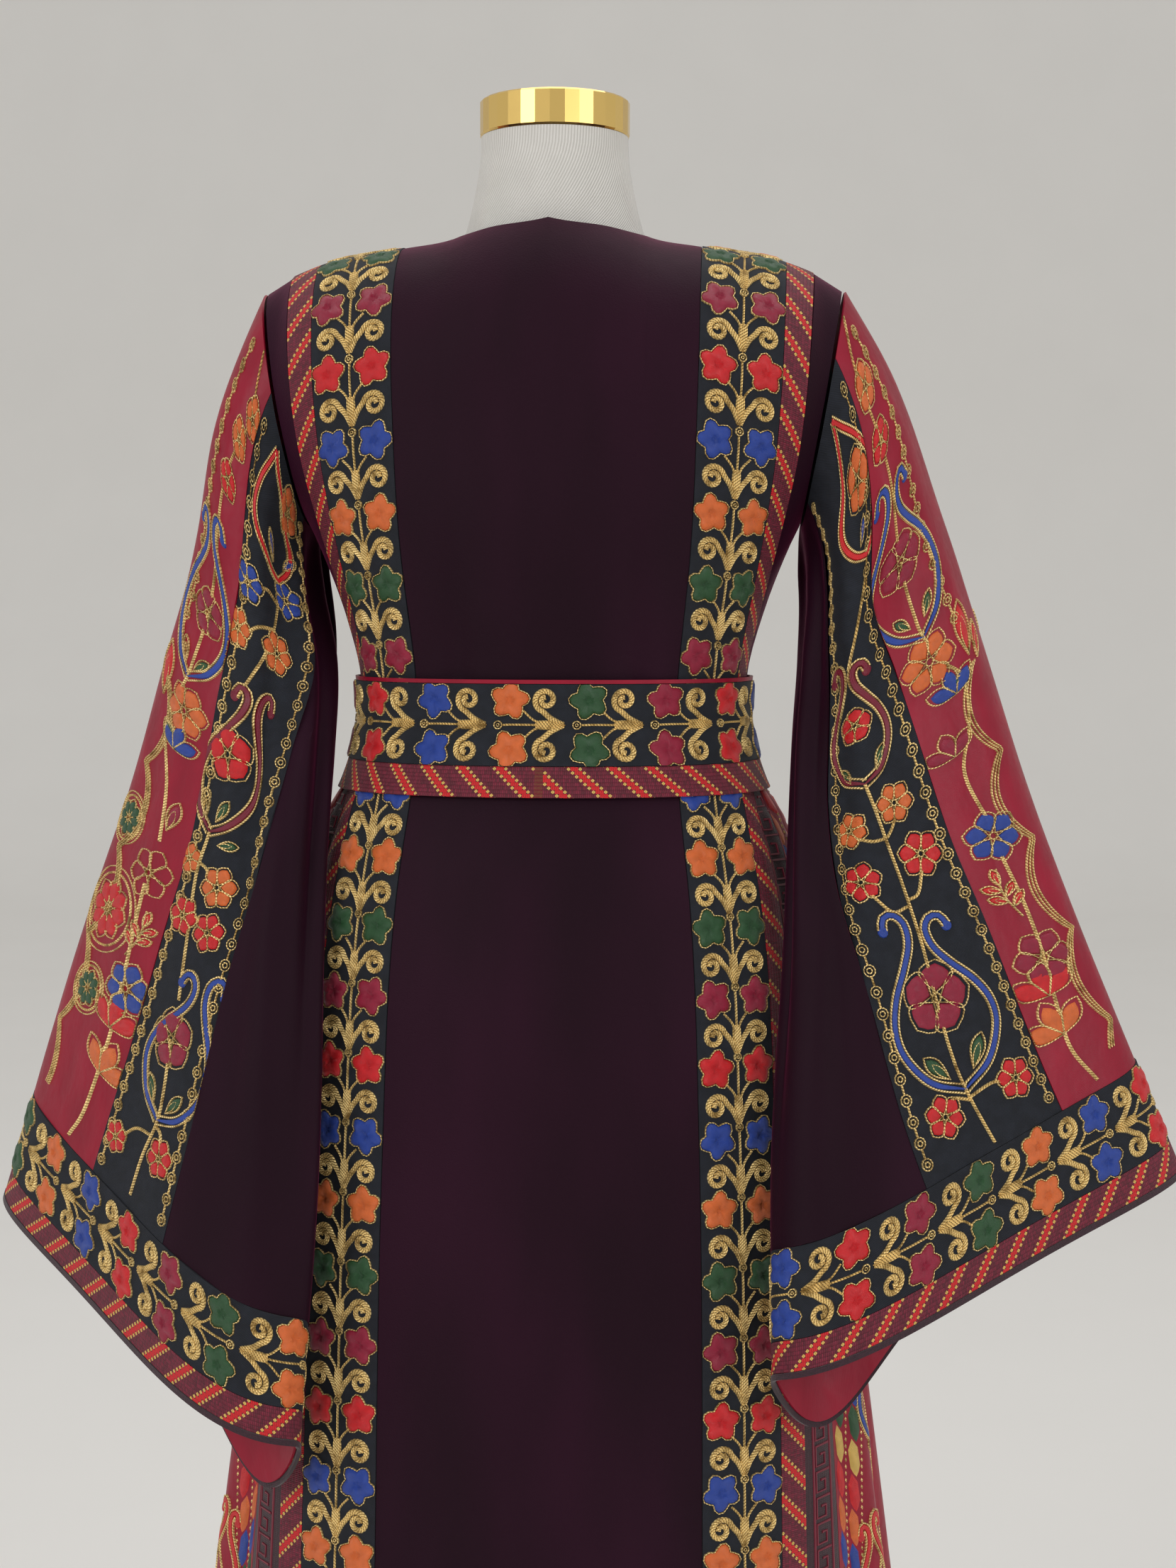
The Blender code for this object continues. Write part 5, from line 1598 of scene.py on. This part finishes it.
def set_motifs(gold, silk, motifs, mirror=1.0):
    """Sets down a table of motifs on one flat panel."""
    for kind, across, along, turn, size, more, colour in motifs:
        at = (mirror * across / 1000, along / 1000)
        one_gold, one_silk = Trim(), Trim()
        if kind == "flower":
            wide = 1.12 if more == 5 else 1.0
            drop_flower(one_gold, one_silk, size / 1000, more, colour, start=turn, wide=wide)
        elif kind == "rosette":
            drop_flower(one_gold, one_silk, size / 1000, more, colour, start=turn, wide=1.1)
            ribbon(one_gold, ring_path(size * 1.15 / 1000, 26), rows_profile(2, 0.0010), closed=True)
            ribbon(one_gold, ring_path(size * 1.36 / 1000, 30), rows_profile(1, 0.0012), closed=True)
        elif kind == "tulip":
            tulip(one_gold, one_silk, size / 1000, colour, more)
        elif kind == "leaf":
            leaf(one_gold, one_silk, size / 1000, colour)
        elif kind == "sprig":
            sprig(one_gold, one_silk, size / 1000, colour, more)
        elif kind == "tear":
            teardrop(one_gold, one_silk, size / 1000, more / 1000, colour)
        else:
            lyre(one_gold, one_silk, size / 1000, more / 1000, colour)
        angle = 0.0 if kind in ("flower", "rosette") else turn * mirror
        gold.put(one_gold, *at, turn=angle, mirror=mirror)
        silk.put(one_silk, *at, turn=angle, mirror=mirror)


def edge_chain(gold, panel, side, inset, start, end):
    """A chain that follows one edge of a panel at an even distance."""
    along = np.linspace(start, end, 40)
    chain(gold, np.stack([edge_line(panel, side, inset, along), along], -1))


def sleeve_trims(side_name, panels):
    """The couched work on one sleeve's satin and twill panels."""
    gold, silk = Laid(), Laid()
    twill, satin, front = panels["twill_back"], panels["satin"], panels["twill_front"]
    flat_gold, flat_silk = Trim(), Trim()
    set_motifs(flat_gold, flat_silk, TWILL_MOTIFS[side_name])
    for points in TWILL_STEMS[side_name]:
        stem(flat_gold, np.array(points) / 1000, 16, 2)
    for side in (-1, 1):
        edge_chain(flat_gold, twill, side, 0.006, 0.006, twill.length - 0.006)
    gold.lay(flat_gold, twill)
    silk.lay(flat_silk, twill)
    flat_gold, flat_silk = Trim(), Trim()
    for mirror in (1.0, -1.0):
        set_motifs(flat_gold, flat_silk, SATIN_MOTIFS[side_name], mirror)
        for points in SATIN_STEMS[side_name]:
            stem(flat_gold, np.array(points) / 1000 * np.array([mirror, 1.0]), 34, 2)
        wavy_cords(flat_gold, mirror * 0.030, satin.length - 0.020, 0.262, 0.016, 0.066, 3, mirror)
    for side in (1, -1):
        chain(flat_gold, np.array([(side * 0.042, 0.006), (side * 0.041, 0.10), (side * 0.034, 0.235)]))
    gold.lay(flat_gold, satin)
    silk.lay(flat_silk, satin)
    flat_gold, flat_silk = Trim(), Trim()
    set_motifs(flat_gold, flat_silk, TWILL_FRONT_MOTIFS)
    stem(flat_gold, np.array([(0.0, 0.01), (0.004, 0.12), (-0.002, 0.30), (0.002, 0.46)]), 30, 2)
    for side in (-1, 1):
        edge_chain(flat_gold, front, side, 0.006, 0.006, front.length - 0.006)
    gold.lay(flat_gold, front)
    silk.lay(flat_silk, front)
    gold.finish("sleeve_cords_" + side_name, "gold_cord", "twill")
    silk.finish("sleeve_silk_" + side_name, "silk_floss", "twill")


# Pieces


def make_bodice():
    """The bodice's panels, and the plants on the two bands over the shoulders."""
    back, front = bodice_middle_panel(False), bodice_middle_panel(True)
    cloth("back_cloth", back, "velvet", "velvet", ["bodice_back"])
    cloth("front_cloth", front, "velvet", "velvet", ["bodice_front"])
    gold, silk = Laid(), Laid()
    for side, name in ((1, "right"), (-1, "left")):
        grid = armhole_grid(name)
        armhole = Panel(grid, body_middle(grid), CLOTH, loop=True)
        cloth("armhole_cloth_" + name, armhole, "velvet", "velvet", ["bodice_side_" + name])
        border = over_shoulder_panel(side, SEAM / 2, BORDER_WIDTH - SEAM / 2, 12, TRIM)
        cloth("border_" + name, border, "twill", "twill", ["bodice_border_" + name])
        low, high = BORDER_WIDTH + SEAM / 2, BORDER_WIDTH + TAPE_WIDTH
        tape = over_shoulder_panel(side, low, high, 5, TRIM)
        cloth("tape_" + name, tape, "tape", "tape", ["bodice_tape_" + name])
        last = border.length - LAST_RING
        count = int((last - 0.004) / BODICE_REPEAT) + 1
        first = last - (count - 1) * BODICE_REPEAT
        colour_from = (1 - count) % len(BORDER_COLOURS)
        one_gold, one_silk = border_trims(first, colour_from, BODICE_REPEAT, count)
        gold.lay(one_gold, border, flip_along=True)
        silk.lay(one_silk, border, flip_along=True)
    gold.finish("bodice_cords", "gold_cord", "twill")
    silk.finish("bodice_silk", "silk_floss", "twill")


def make_belt():
    """The belt: tape below, border in the middle and a satin piping on top."""
    border = belt_panel(BELT_TAPE_TOP + SEAM, BELT_BORDER_TOP, TRIM, 12)
    cloth("belt_border_cloth", border, "twill", "twill", ["belt_border"])
    cloth("belt_tape_cloth", belt_panel(BELT_FOOT, BELT_TAPE_TOP, TRIM, 5), "tape", "tape", ["belt_tape"])
    piping = belt_panel(BELT_BORDER_TOP + SEAM, BELT_TOP, TRIM, 4)
    cloth("belt_piping_cloth", piping, "satin", "satin", ["belt_piping"])
    gold, silk = Laid(), Laid()
    pitch = border.length / BELT_REPEATS
    one_gold, one_silk = border_trims(0.0217 - 3 * pitch, 1, pitch, BELT_REPEATS)
    gold.lay(one_gold, border)
    silk.lay(one_silk, border)
    gold.finish("belt_cords", "gold_cord", "twill")
    silk.finish("belt_silk", "silk_floss", "twill")


# Columns: layer, and the edges of its border, tape and stitched band
SKIRT_STRIPS = (
    ("back", (1, 2), (2, 3), (3, 4)),
    ("front", (-3, -2), (-4, -3), (-5, -4)),
)


def make_skirt():
    """The skirt's velvet panels, borders, tapes, stitched bands and gathered satin sides, with their work."""
    cloth("skirt_back_cloth", skirt_panel(0, 1, 20, CLOTH, whole=True), "velvet", "velvet", ["skirt_back"])
    cloth("skirt_front_cloth", skirt_panel(-1, 0, 20, CLOTH, whole=True), "velvet", "velvet", ["skirt_front"])
    for side, name in ((1.0, "right"), (-1.0, "left")):
        gold, silk = Laid(), Laid()
        bands, vines = Laid(), Laid()
        for where, border_at, tape_at, band_at in SKIRT_STRIPS:
            ending = where + "_" + name
            border = skirt_panel(*border_at, 12, TRIM, side)
            cloth("skirt_border_cloth_" + ending, border, "twill", "twill", ["skirt_border_" + ending])
            tape = skirt_panel(*tape_at, 6, TRIM, side)
            cloth("skirt_tape_cloth_" + ending, tape, "tape_turned", "tape", ["skirt_tape_" + ending])
            band = skirt_panel(*band_at, 10, CLOTH, side)
            cloth("skirt_band_cloth_" + ending, band, "fret", "fret", ["skirt_fret_" + ending])
            one_gold, one_silk = border_trims(0.0320, 2, SKIRT_REPEAT, SKIRT_REPEATS)
            gold.lay(one_gold, border)
            silk.lay(one_silk, border)
            flip = 1.0 if (side > 0) == (where == "back") else -1.0
            flat_silk = Trim()
            key_band(flat_silk, 0.0, band.length, 0.040, flip)
            bands.lay(flat_silk, band)
        gold.finish("skirt_cords_" + name, "gold_cord", "twill")
        silk.finish("skirt_silk_" + name, "silk_floss", "twill")
        side_panel = skirt_panel(4, -5, 56, CLOTH, side)
        nodes = ["skirt_side_" + name]
        cloth("skirt_side_cloth_" + name, side_panel, "satin", "satin", nodes)
        flat_gold, flat_silk = Trim(), Trim()
        for edge in (-1, 1):
            lozenge_band(flat_silk, side_panel, edge, 0.010)
            stitch_line(flat_gold, side_panel, edge, 0.0180)
            lozenge_band(flat_silk, side_panel, edge, 0.0265)
            stitch_line(flat_gold, side_panel, edge, 0.0345)
            start = start_beside(side_panel, 0.066)
            at = np.linspace(start, side_panel.length - 0.010, 160)
            wave = VINE_INSET + 0.008 * np.sin(2 * math.pi * at / VINE_REPEAT)
            line = edge_line(side_panel, edge, wave, at)
            ribbon(flat_gold, np.stack([line, at], -1), rows_profile(2, 0.0011))
            for k in range(int((side_panel.length - 0.12 - start) / VINE_REPEAT)):
                foot = start + 0.128 + VINE_REPEAT * k
                lyre_gold, lyre_silk = Trim(), Trim()
                lyre(lyre_gold, lyre_silk, 0.034, 0.082, ("blue", "red", "green")[k % 3])
                colour = BORDER_COLOURS[k % len(BORDER_COLOURS)]
                drop_flower(lyre_gold, lyre_silk, 0.011, 6, colour, start=0.3)
                across = edge_line(side_panel, edge, VINE_INSET, foot)
                flat_gold.put(lyre_gold, across, foot)
                flat_silk.put(lyre_silk, across, foot)
        vines.lay(flat_gold, side_panel)
        bands.lay(flat_silk, side_panel)
        vines.finish("skirt_side_cords_" + name, "gold_cord", "satin")
        bands.finish("skirt_stitches_" + name, "silk_floss", "fret")


def make_sleeves():
    """Both sleeves: the long panels, the cuff's border, tape, binding and facing, and the work on them."""
    for name in ("right", "left"):
        panels = {}
        for piece, cells in zip(SLEEVE_PIECES, (44, 22, 40, 22)):
            part, first, last, _, stuff = piece
            panels[part] = sleeve_panel(name, (part, first, last, cells, stuff))
            nodes = ["sleeve_" + part + "_" + name]
            cloth("sleeve_cloth_" + part + "_" + name, panels[part], stuff, stuff, nodes)
        sleeve_trims(name, panels)
        tape_top = BINDING_WIDTH + TAPE_WIDTH
        border = cuff_panel(name, tape_top + BORDER_WIDTH, tape_top + SEAM, 12, TRIM)
        cloth("cuff_border_cloth_" + name, border, "twill", "twill", ["cuff_border_" + name])
        tape = cuff_panel(name, tape_top, BINDING_WIDTH + SEAM, 5, TRIM)
        slant = "tape_turned" if name == "right" else "tape"
        cloth("cuff_tape_cloth_" + name, tape, slant, "tape", ["cuff_tape_" + name])
        binding = cuff_panel(name, BINDING_WIDTH, 0.0, 3, BINDING_THICK)
        cloth("cuff_binding_cloth_" + name, binding, "binding", "binding", ["cuff_binding_" + name])
        facing = cuff_panel(name, FACING_WIDTH, BINDING_WIDTH, 8, CLOTH, lift=-(CLOTH + FACING_GAP))
        cloth("cuff_facing_cloth_" + name, facing, "satin", "satin", ["cuff_facing_" + name])
        gold, silk = Laid(), Laid()
        count = int(round(border.length / REPEAT))
        pitch = border.length / count
        one_gold, one_silk = border_trims(0.012, 1, pitch, count)
        gold.lay(one_gold, border, flip_along=name == "left")
        silk.lay(one_silk, border, flip_along=name == "left")
        gold.finish("cuff_cords_" + name, "gold_cord", "twill")
        silk.finish("cuff_silk_" + name, "silk_floss", "twill")


def loops_mesh(name, loops, material, slot):
    """A closed surface over loops stacked from the foot up, with a flat fan at each end."""
    loops = np.asarray(loops, float)
    rows, cols = loops.shape[:2]
    r, c = np.meshgrid(np.arange(rows - 1), np.arange(cols), indexing="ij")
    c2 = (c + 1) % cols
    here, above = r * cols, (r + 1) * cols
    quads = np.stack([here + c, here + c2, above + c2, above + c], -1).reshape(-1, 4)
    ends = [loops[0].mean(axis=0)[None], loops[-1].mean(axis=0)[None]]
    corners = np.concatenate([loops.reshape(-1, 3), *ends])
    k = np.arange(cols)
    k2 = (k + 1) % cols
    last, foot, top = (rows - 1) * cols, rows * cols, rows * cols + 1
    lids = [np.stack([foot + 0 * k, k2, k], -1), np.stack([top + 0 * k, last + k, last + k2], -1)]
    tris = np.concatenate(lids)
    steps = np.linalg.norm(np.diff(loops, axis=1), axis=2)
    around = np.concatenate([np.zeros((rows, 1)), np.cumsum(steps, axis=1)], axis=1)
    uvs = np.stack([around, loops[..., 2]], -1).reshape(-1, 2)
    uvs = np.concatenate([uvs, [[0, 0], [0, 1]]])
    return new_mesh(name, corners, quads, tris, uvs, material, slot)


def torso_loops():
    """The form's loops: its hips first, then rows that follow the bodice a little inside it."""
    angle = np.linspace(-math.pi, 0, 49)
    across = np.cos(angle)
    power = 2 / BODY_ROUNDNESS
    loops = []
    for z in np.linspace(FORM_HIPS[0][0], FORM_HIPS[-1][0], 16):
        half, back, front = (float(smooth(FORM_HIPS, k, z)) for k in (1, 2, 3))
        depth = np.abs(np.sin(angle)) ** power
        x = half * np.sign(across) * np.abs(across) ** power
        back_side = np.stack([x, -back * depth, np.full(len(x), z)], -1)
        front_side = np.stack([x, front * depth, np.full(len(x), z)], -1)
        loops.append(np.concatenate([back_side, front_side[-2:0:-1]]))
    for share in bodice_ways(14):
        turn = max(0.0, (share - STRAIGHT_SHARE) / (1 - STRAIGHT_SHARE)) * math.pi / 2
        inset = FORM_INSET * math.cos(turn) + 0.003 * math.sin(turn)
        halves = []
        for front in (False, True):
            way = 2 - share if front else share
            reach = across_from(middle_edge(way), BORDER_WIDTH + TAPE_WIDTH, way) - 0.002
            full = float(smooth(BODY, 1, bodice_point(0.1, way)[2]))
            half = min(reach, full - 0.010, 0.166) if share > 0.45 else full - 0.011
            x = half * np.sign(across) * np.abs(across) ** 0.8
            shape = bodice_point(x, way)
            depth = np.maximum(np.abs(shape[:, 1]) - inset, 0) * rounded(x, half, FORM_ROUNDNESS)
            low = FORM_SHOULDER_GAP + FORM_NECK_GAP * np.clip(1.5 - np.abs(x) / 0.075, 0, 1)
            halves.append(np.stack([x, depth if front else -depth, shape[:, 2] - low], -1))
        back_side, front_side = halves
        x = np.minimum(np.abs(back_side[:, 0]), np.abs(front_side[:, 0])) * np.sign(across)
        back_side[:, 0] = front_side[:, 0] = x
        ends = (back_side[[0, -1]] + front_side[[0, -1]]) / 2
        back_side[[0, -1]] = front_side[[0, -1]] = ends
        loops.append(np.concatenate([back_side, front_side[-2:0:-1]]))
    return np.array(loops)


def make_form():
    """The limbless form's neck and cap, and the finishes of its pole and base."""
    count = 72
    angle = np.linspace(0, 2 * math.pi, count, endpoint=False)
    loops = []
    heights = np.array([row[0] for row in NECK])
    for z in np.linspace(heights.min(), heights.max(), 26):
        half, back, front = (float(smooth(NECK, k, z)) for k in (1, 2, 3))
        deep = np.where(np.sin(angle) < 0, back, front)
        loops.append(np.stack([half * np.cos(angle), deep * np.sin(angle), np.full(count, z)], -1))
    loops_mesh("neck_jersey", loops, "jersey", "form_cloth")
    torso = loops_mesh("torso_jersey", torso_loops(), "jersey", "form_cloth")
    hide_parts("form_torso")
    give_material("form_cap", "cap_gold")
    give_material("stand_pole", "steel")
    give_material("stand_base", "steel")


def give_material(node, material):
    """Gives a carried-over solid its finish."""
    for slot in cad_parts[node].material_slots:
        slot.material = bpy.data.materials[FINISH_PREFIX + material]


def make_stage(studio):
    """Floor and backdrop in one sweep, three soft lights and the camera at the photograph's angle."""
    side = np.linspace(-ROOM_REACH, ROOM_REACH, 13)
    bend = np.linspace(0, math.pi / 2, 16)
    wall = BACKDROP_AT + BACKDROP_BEND
    depth = np.concatenate([[-ROOM_REACH], BACKDROP_AT + BACKDROP_BEND * np.sin(bend), [wall]])
    height = np.concatenate([[0.0], BACKDROP_BEND - BACKDROP_BEND * np.cos(bend), [BACKDROP_TOP]])
    x, row = np.meshgrid(side, np.arange(len(depth)))
    corners = np.stack([x, depth[row], height[row]], -1).reshape(-1, 3)
    mesh = bpy.data.meshes.new("sweep")
    rows, cols = len(depth), len(side)
    mesh.from_pydata(corners.tolist(), [], grid_faces(rows, cols).tolist())
    mesh.materials.append(bpy.data.materials[FINISH_PREFIX + "room"])
    mesh.shade_smooth()
    sweep = bpy.data.objects.new("sweep", mesh)
    bpy.context.scene.collection.objects.link(sweep)
    for name, place_at, aim, size, power in (
        ("window_light", (-2.6, -3.2, 2.6), (0, 0, 0.95), 2.6, studio.main_power),
        ("fill_light", (2.8, -2.6, 1.9), (0, 0, 0.9), 2.4, studio.fill_power),
        ("top_light", (0.2, 0.6, 3.6), (0, 0.1, 0.9), 2.2, studio.top_power),
    ):
        data = bpy.data.lights.new(name, "AREA")
        data.shape = "DISK"
        data.size = size
        data.energy = power
        lamp = bpy.data.objects.new(name, data)
        lamp.location = place_at
        lamp.rotation_euler = (Vector(aim) - Vector(place_at)).to_track_quat("-Z", "Y").to_euler()
        bpy.context.scene.collection.objects.link(lamp)
    world = bpy.data.worlds.new("soft room")
    world.use_nodes = True
    world.node_tree.nodes["Background"].inputs[0].default_value = (1.0, 0.99, 0.97, 1.0)
    world.node_tree.nodes["Background"].inputs[1].default_value = studio.room_light
    bpy.context.scene.world = world
    bpy.context.scene.view_settings.view_transform = "Standard"
    data = bpy.data.cameras.new("camera")
    data.sensor_fit = "AUTO"
    data.lens = LENS_MM
    camera = bpy.data.objects.new("camera", data)
    turn = Matrix.Rotation(VIEW_YAW, 4, "Z") @ Matrix.Rotation(math.pi / 2 - VIEW_PITCH, 4, "X")
    camera.matrix_world = turn @ Matrix.Rotation(VIEW_ROLL, 4, "Z")
    out = Vector((math.sin(VIEW_YAW), -math.cos(VIEW_YAW), 0)) * VIEW_DISTANCE
    beside = Vector((math.cos(VIEW_YAW), math.sin(VIEW_YAW), 0)) * VIEW_SHIFT
    camera.location = Vector((0, 0, VIEW_HEIGHT)) + out + beside
    bpy.context.scene.collection.objects.link(camera)
    bpy.context.scene.camera = camera


# The add-on's settings, one operator for each group of pieces, and its panel


def colour_setting(name, description, default):
    """A colour among the settings."""
    return FloatVectorProperty(
        name=name, description=description, subtype="COLOR", min=0, max=1, default=default
    )


def power_setting(name, description, default):
    """A light's power among the settings."""
    return FloatProperty(
        name=name, description=description, default=default, min=0, subtype="POWER", unit="POWER"
    )


class DressColours(bpy.types.PropertyGroup):
    """Colours of the dress's cloths."""

    velvet: colour_setting("Velvet", "Base colour of the velvet's pile", (0.016, 0.002, 0.009))
    velvet_sheen: colour_setting(
        "Velvet sheen", "Colour of the light that the pile's tips catch", (0.20, 0.025, 0.080)
    )
    twill: colour_setting("Twill", "Colour of the twill under the borders", (0.010, 0.012, 0.018))
    satin: colour_setting("Satin", "Colour of the satin", (0.262, 0.004, 0.022))
    tape: colour_setting("Tape", "Ground colour of the stitched tapes", (0.165, 0.006, 0.026))


class DressStudio(bpy.types.PropertyGroup):
    """Strength of the studio's lights."""

    main_power: power_setting("Main light", "Power of the large light on the left", 46.0)
    fill_power: power_setting("Fill light", "Power of the large light on the right", 27.0)
    top_power: power_setting("Top light", "Power of the light overhead", 20.0)
    room_light: FloatProperty(
        name="Room light", description="Strength of the even light from all round", default=0.62,
        min=0, max=5,
    )


class DRESS_OT_finishes(bpy.types.Operator):
    """Make the finishes of cloth, thread, jersey and metal."""

    bl_idname = "dress.finishes"
    bl_label = "Finishes"

    def execute(self, context):
        colours = context.scene.dress_colours
        weave_group()
        velvet_finish(colours)
        twill_finish(colours)
        satin_finish(colours)
        tape_finish("tape", 1.0, colours)
        tape_finish("tape_turned", -1.0, colours)
        stitched_finish("fret", (0.030, 0.004, 0.010))
        stitched_finish("binding", (0.030, 0.006, 0.014), 0.0010)
        gold_finish()
        silk_finish()
        jersey_finish()
        metal_finish("cap_gold", (0.90, 0.62, 0.20), 0.13, 1.0, 0.10)
        metal_finish("steel", (0.60, 0.60, 0.61), 0.26, 0.15, 0.14)
        room_finish("room", (0.86, 0.845, 0.82))
        return {"FINISHED"}


class DRESS_OT_form(bpy.types.Operator):
    """Make the limbless form's jersey, and finish its cap, pole and base."""

    bl_idname = "dress.form"
    bl_label = "Dress form"

    def execute(self, context):
        make_form()
        return {"FINISHED"}


class DRESS_OT_bodice(bpy.types.Operator):
    """Make the bodice's panels and the two worked bands over the shoulders."""

    bl_idname = "dress.bodice"
    bl_label = "Bodice"

    def execute(self, context):
        make_bodice()
        return {"FINISHED"}


class DRESS_OT_skirt(bpy.types.Operator):
    """Make the skirt's panels, bands and gathered sides."""

    bl_idname = "dress.skirt"
    bl_label = "Skirt"

    def execute(self, context):
        make_skirt()
        return {"FINISHED"}


class DRESS_OT_belt(bpy.types.Operator):
    """Make the belt's tape, border and piping."""

    bl_idname = "dress.belt"
    bl_label = "Belt"

    def execute(self, context):
        make_belt()
        return {"FINISHED"}


class DRESS_OT_sleeves(bpy.types.Operator):
    """Make both sleeves with their couched work and their cuffs."""

    bl_idname = "dress.sleeves"
    bl_label = "Sleeves"

    def execute(self, context):
        make_sleeves()
        return {"FINISHED"}


class DRESS_OT_stage(bpy.types.Operator):
    """Make the floor and backdrop, the lights and the camera."""

    bl_idname = "dress.stage"
    bl_label = "Stage"

    def execute(self, context):
        make_stage(context.scene.dress_studio)
        return {"FINISHED"}


OPERATORS = (
    DRESS_OT_finishes,
    DRESS_OT_form,
    DRESS_OT_bodice,
    DRESS_OT_skirt,
    DRESS_OT_belt,
    DRESS_OT_sleeves,
    DRESS_OT_stage,
)


class DRESS_PT_sidebar(bpy.types.Panel):
    """Lists the dress's settings and pieces in the 3D view's sidebar."""

    bl_idname = "DRESS_PT_sidebar"
    bl_label = "Embroidered velvet dress"
    bl_space_type = "VIEW_3D"
    bl_region_type = "UI"
    bl_category = "Dress"

    def draw(self, context):
        layout = self.layout
        colours, studio = context.scene.dress_colours, context.scene.dress_studio
        for name in ("velvet", "velvet_sheen", "twill", "satin", "tape"):
            layout.prop(colours, name)
        for name in ("main_power", "fill_power", "top_power", "room_light"):
            layout.prop(studio, name)
        for operator in OPERATORS:
            layout.operator(operator.bl_idname)


CLASSES = (DressColours, DressStudio, *OPERATORS, DRESS_PT_sidebar)


def register():
    """Registers the classes and joins the settings to the scene."""
    for item in CLASSES:
        bpy.utils.register_class(item)
    bpy.types.Scene.dress_colours = PointerProperty(type=DressColours)
    bpy.types.Scene.dress_studio = PointerProperty(type=DressStudio)


def unregister():
    """Takes back what register set up."""
    del bpy.types.Scene.dress_studio
    del bpy.types.Scene.dress_colours
    for item in reversed(CLASSES):
        bpy.utils.unregister_class(item)


def main():
    """Registers the add-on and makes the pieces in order."""
    register()
    bpy.ops.dress.finishes()
    bpy.ops.dress.form()
    bpy.ops.dress.bodice()
    bpy.ops.dress.skirt()
    bpy.ops.dress.belt()
    bpy.ops.dress.sleeves()
    bpy.ops.dress.stage()


if __name__ == "__main__":
    main()
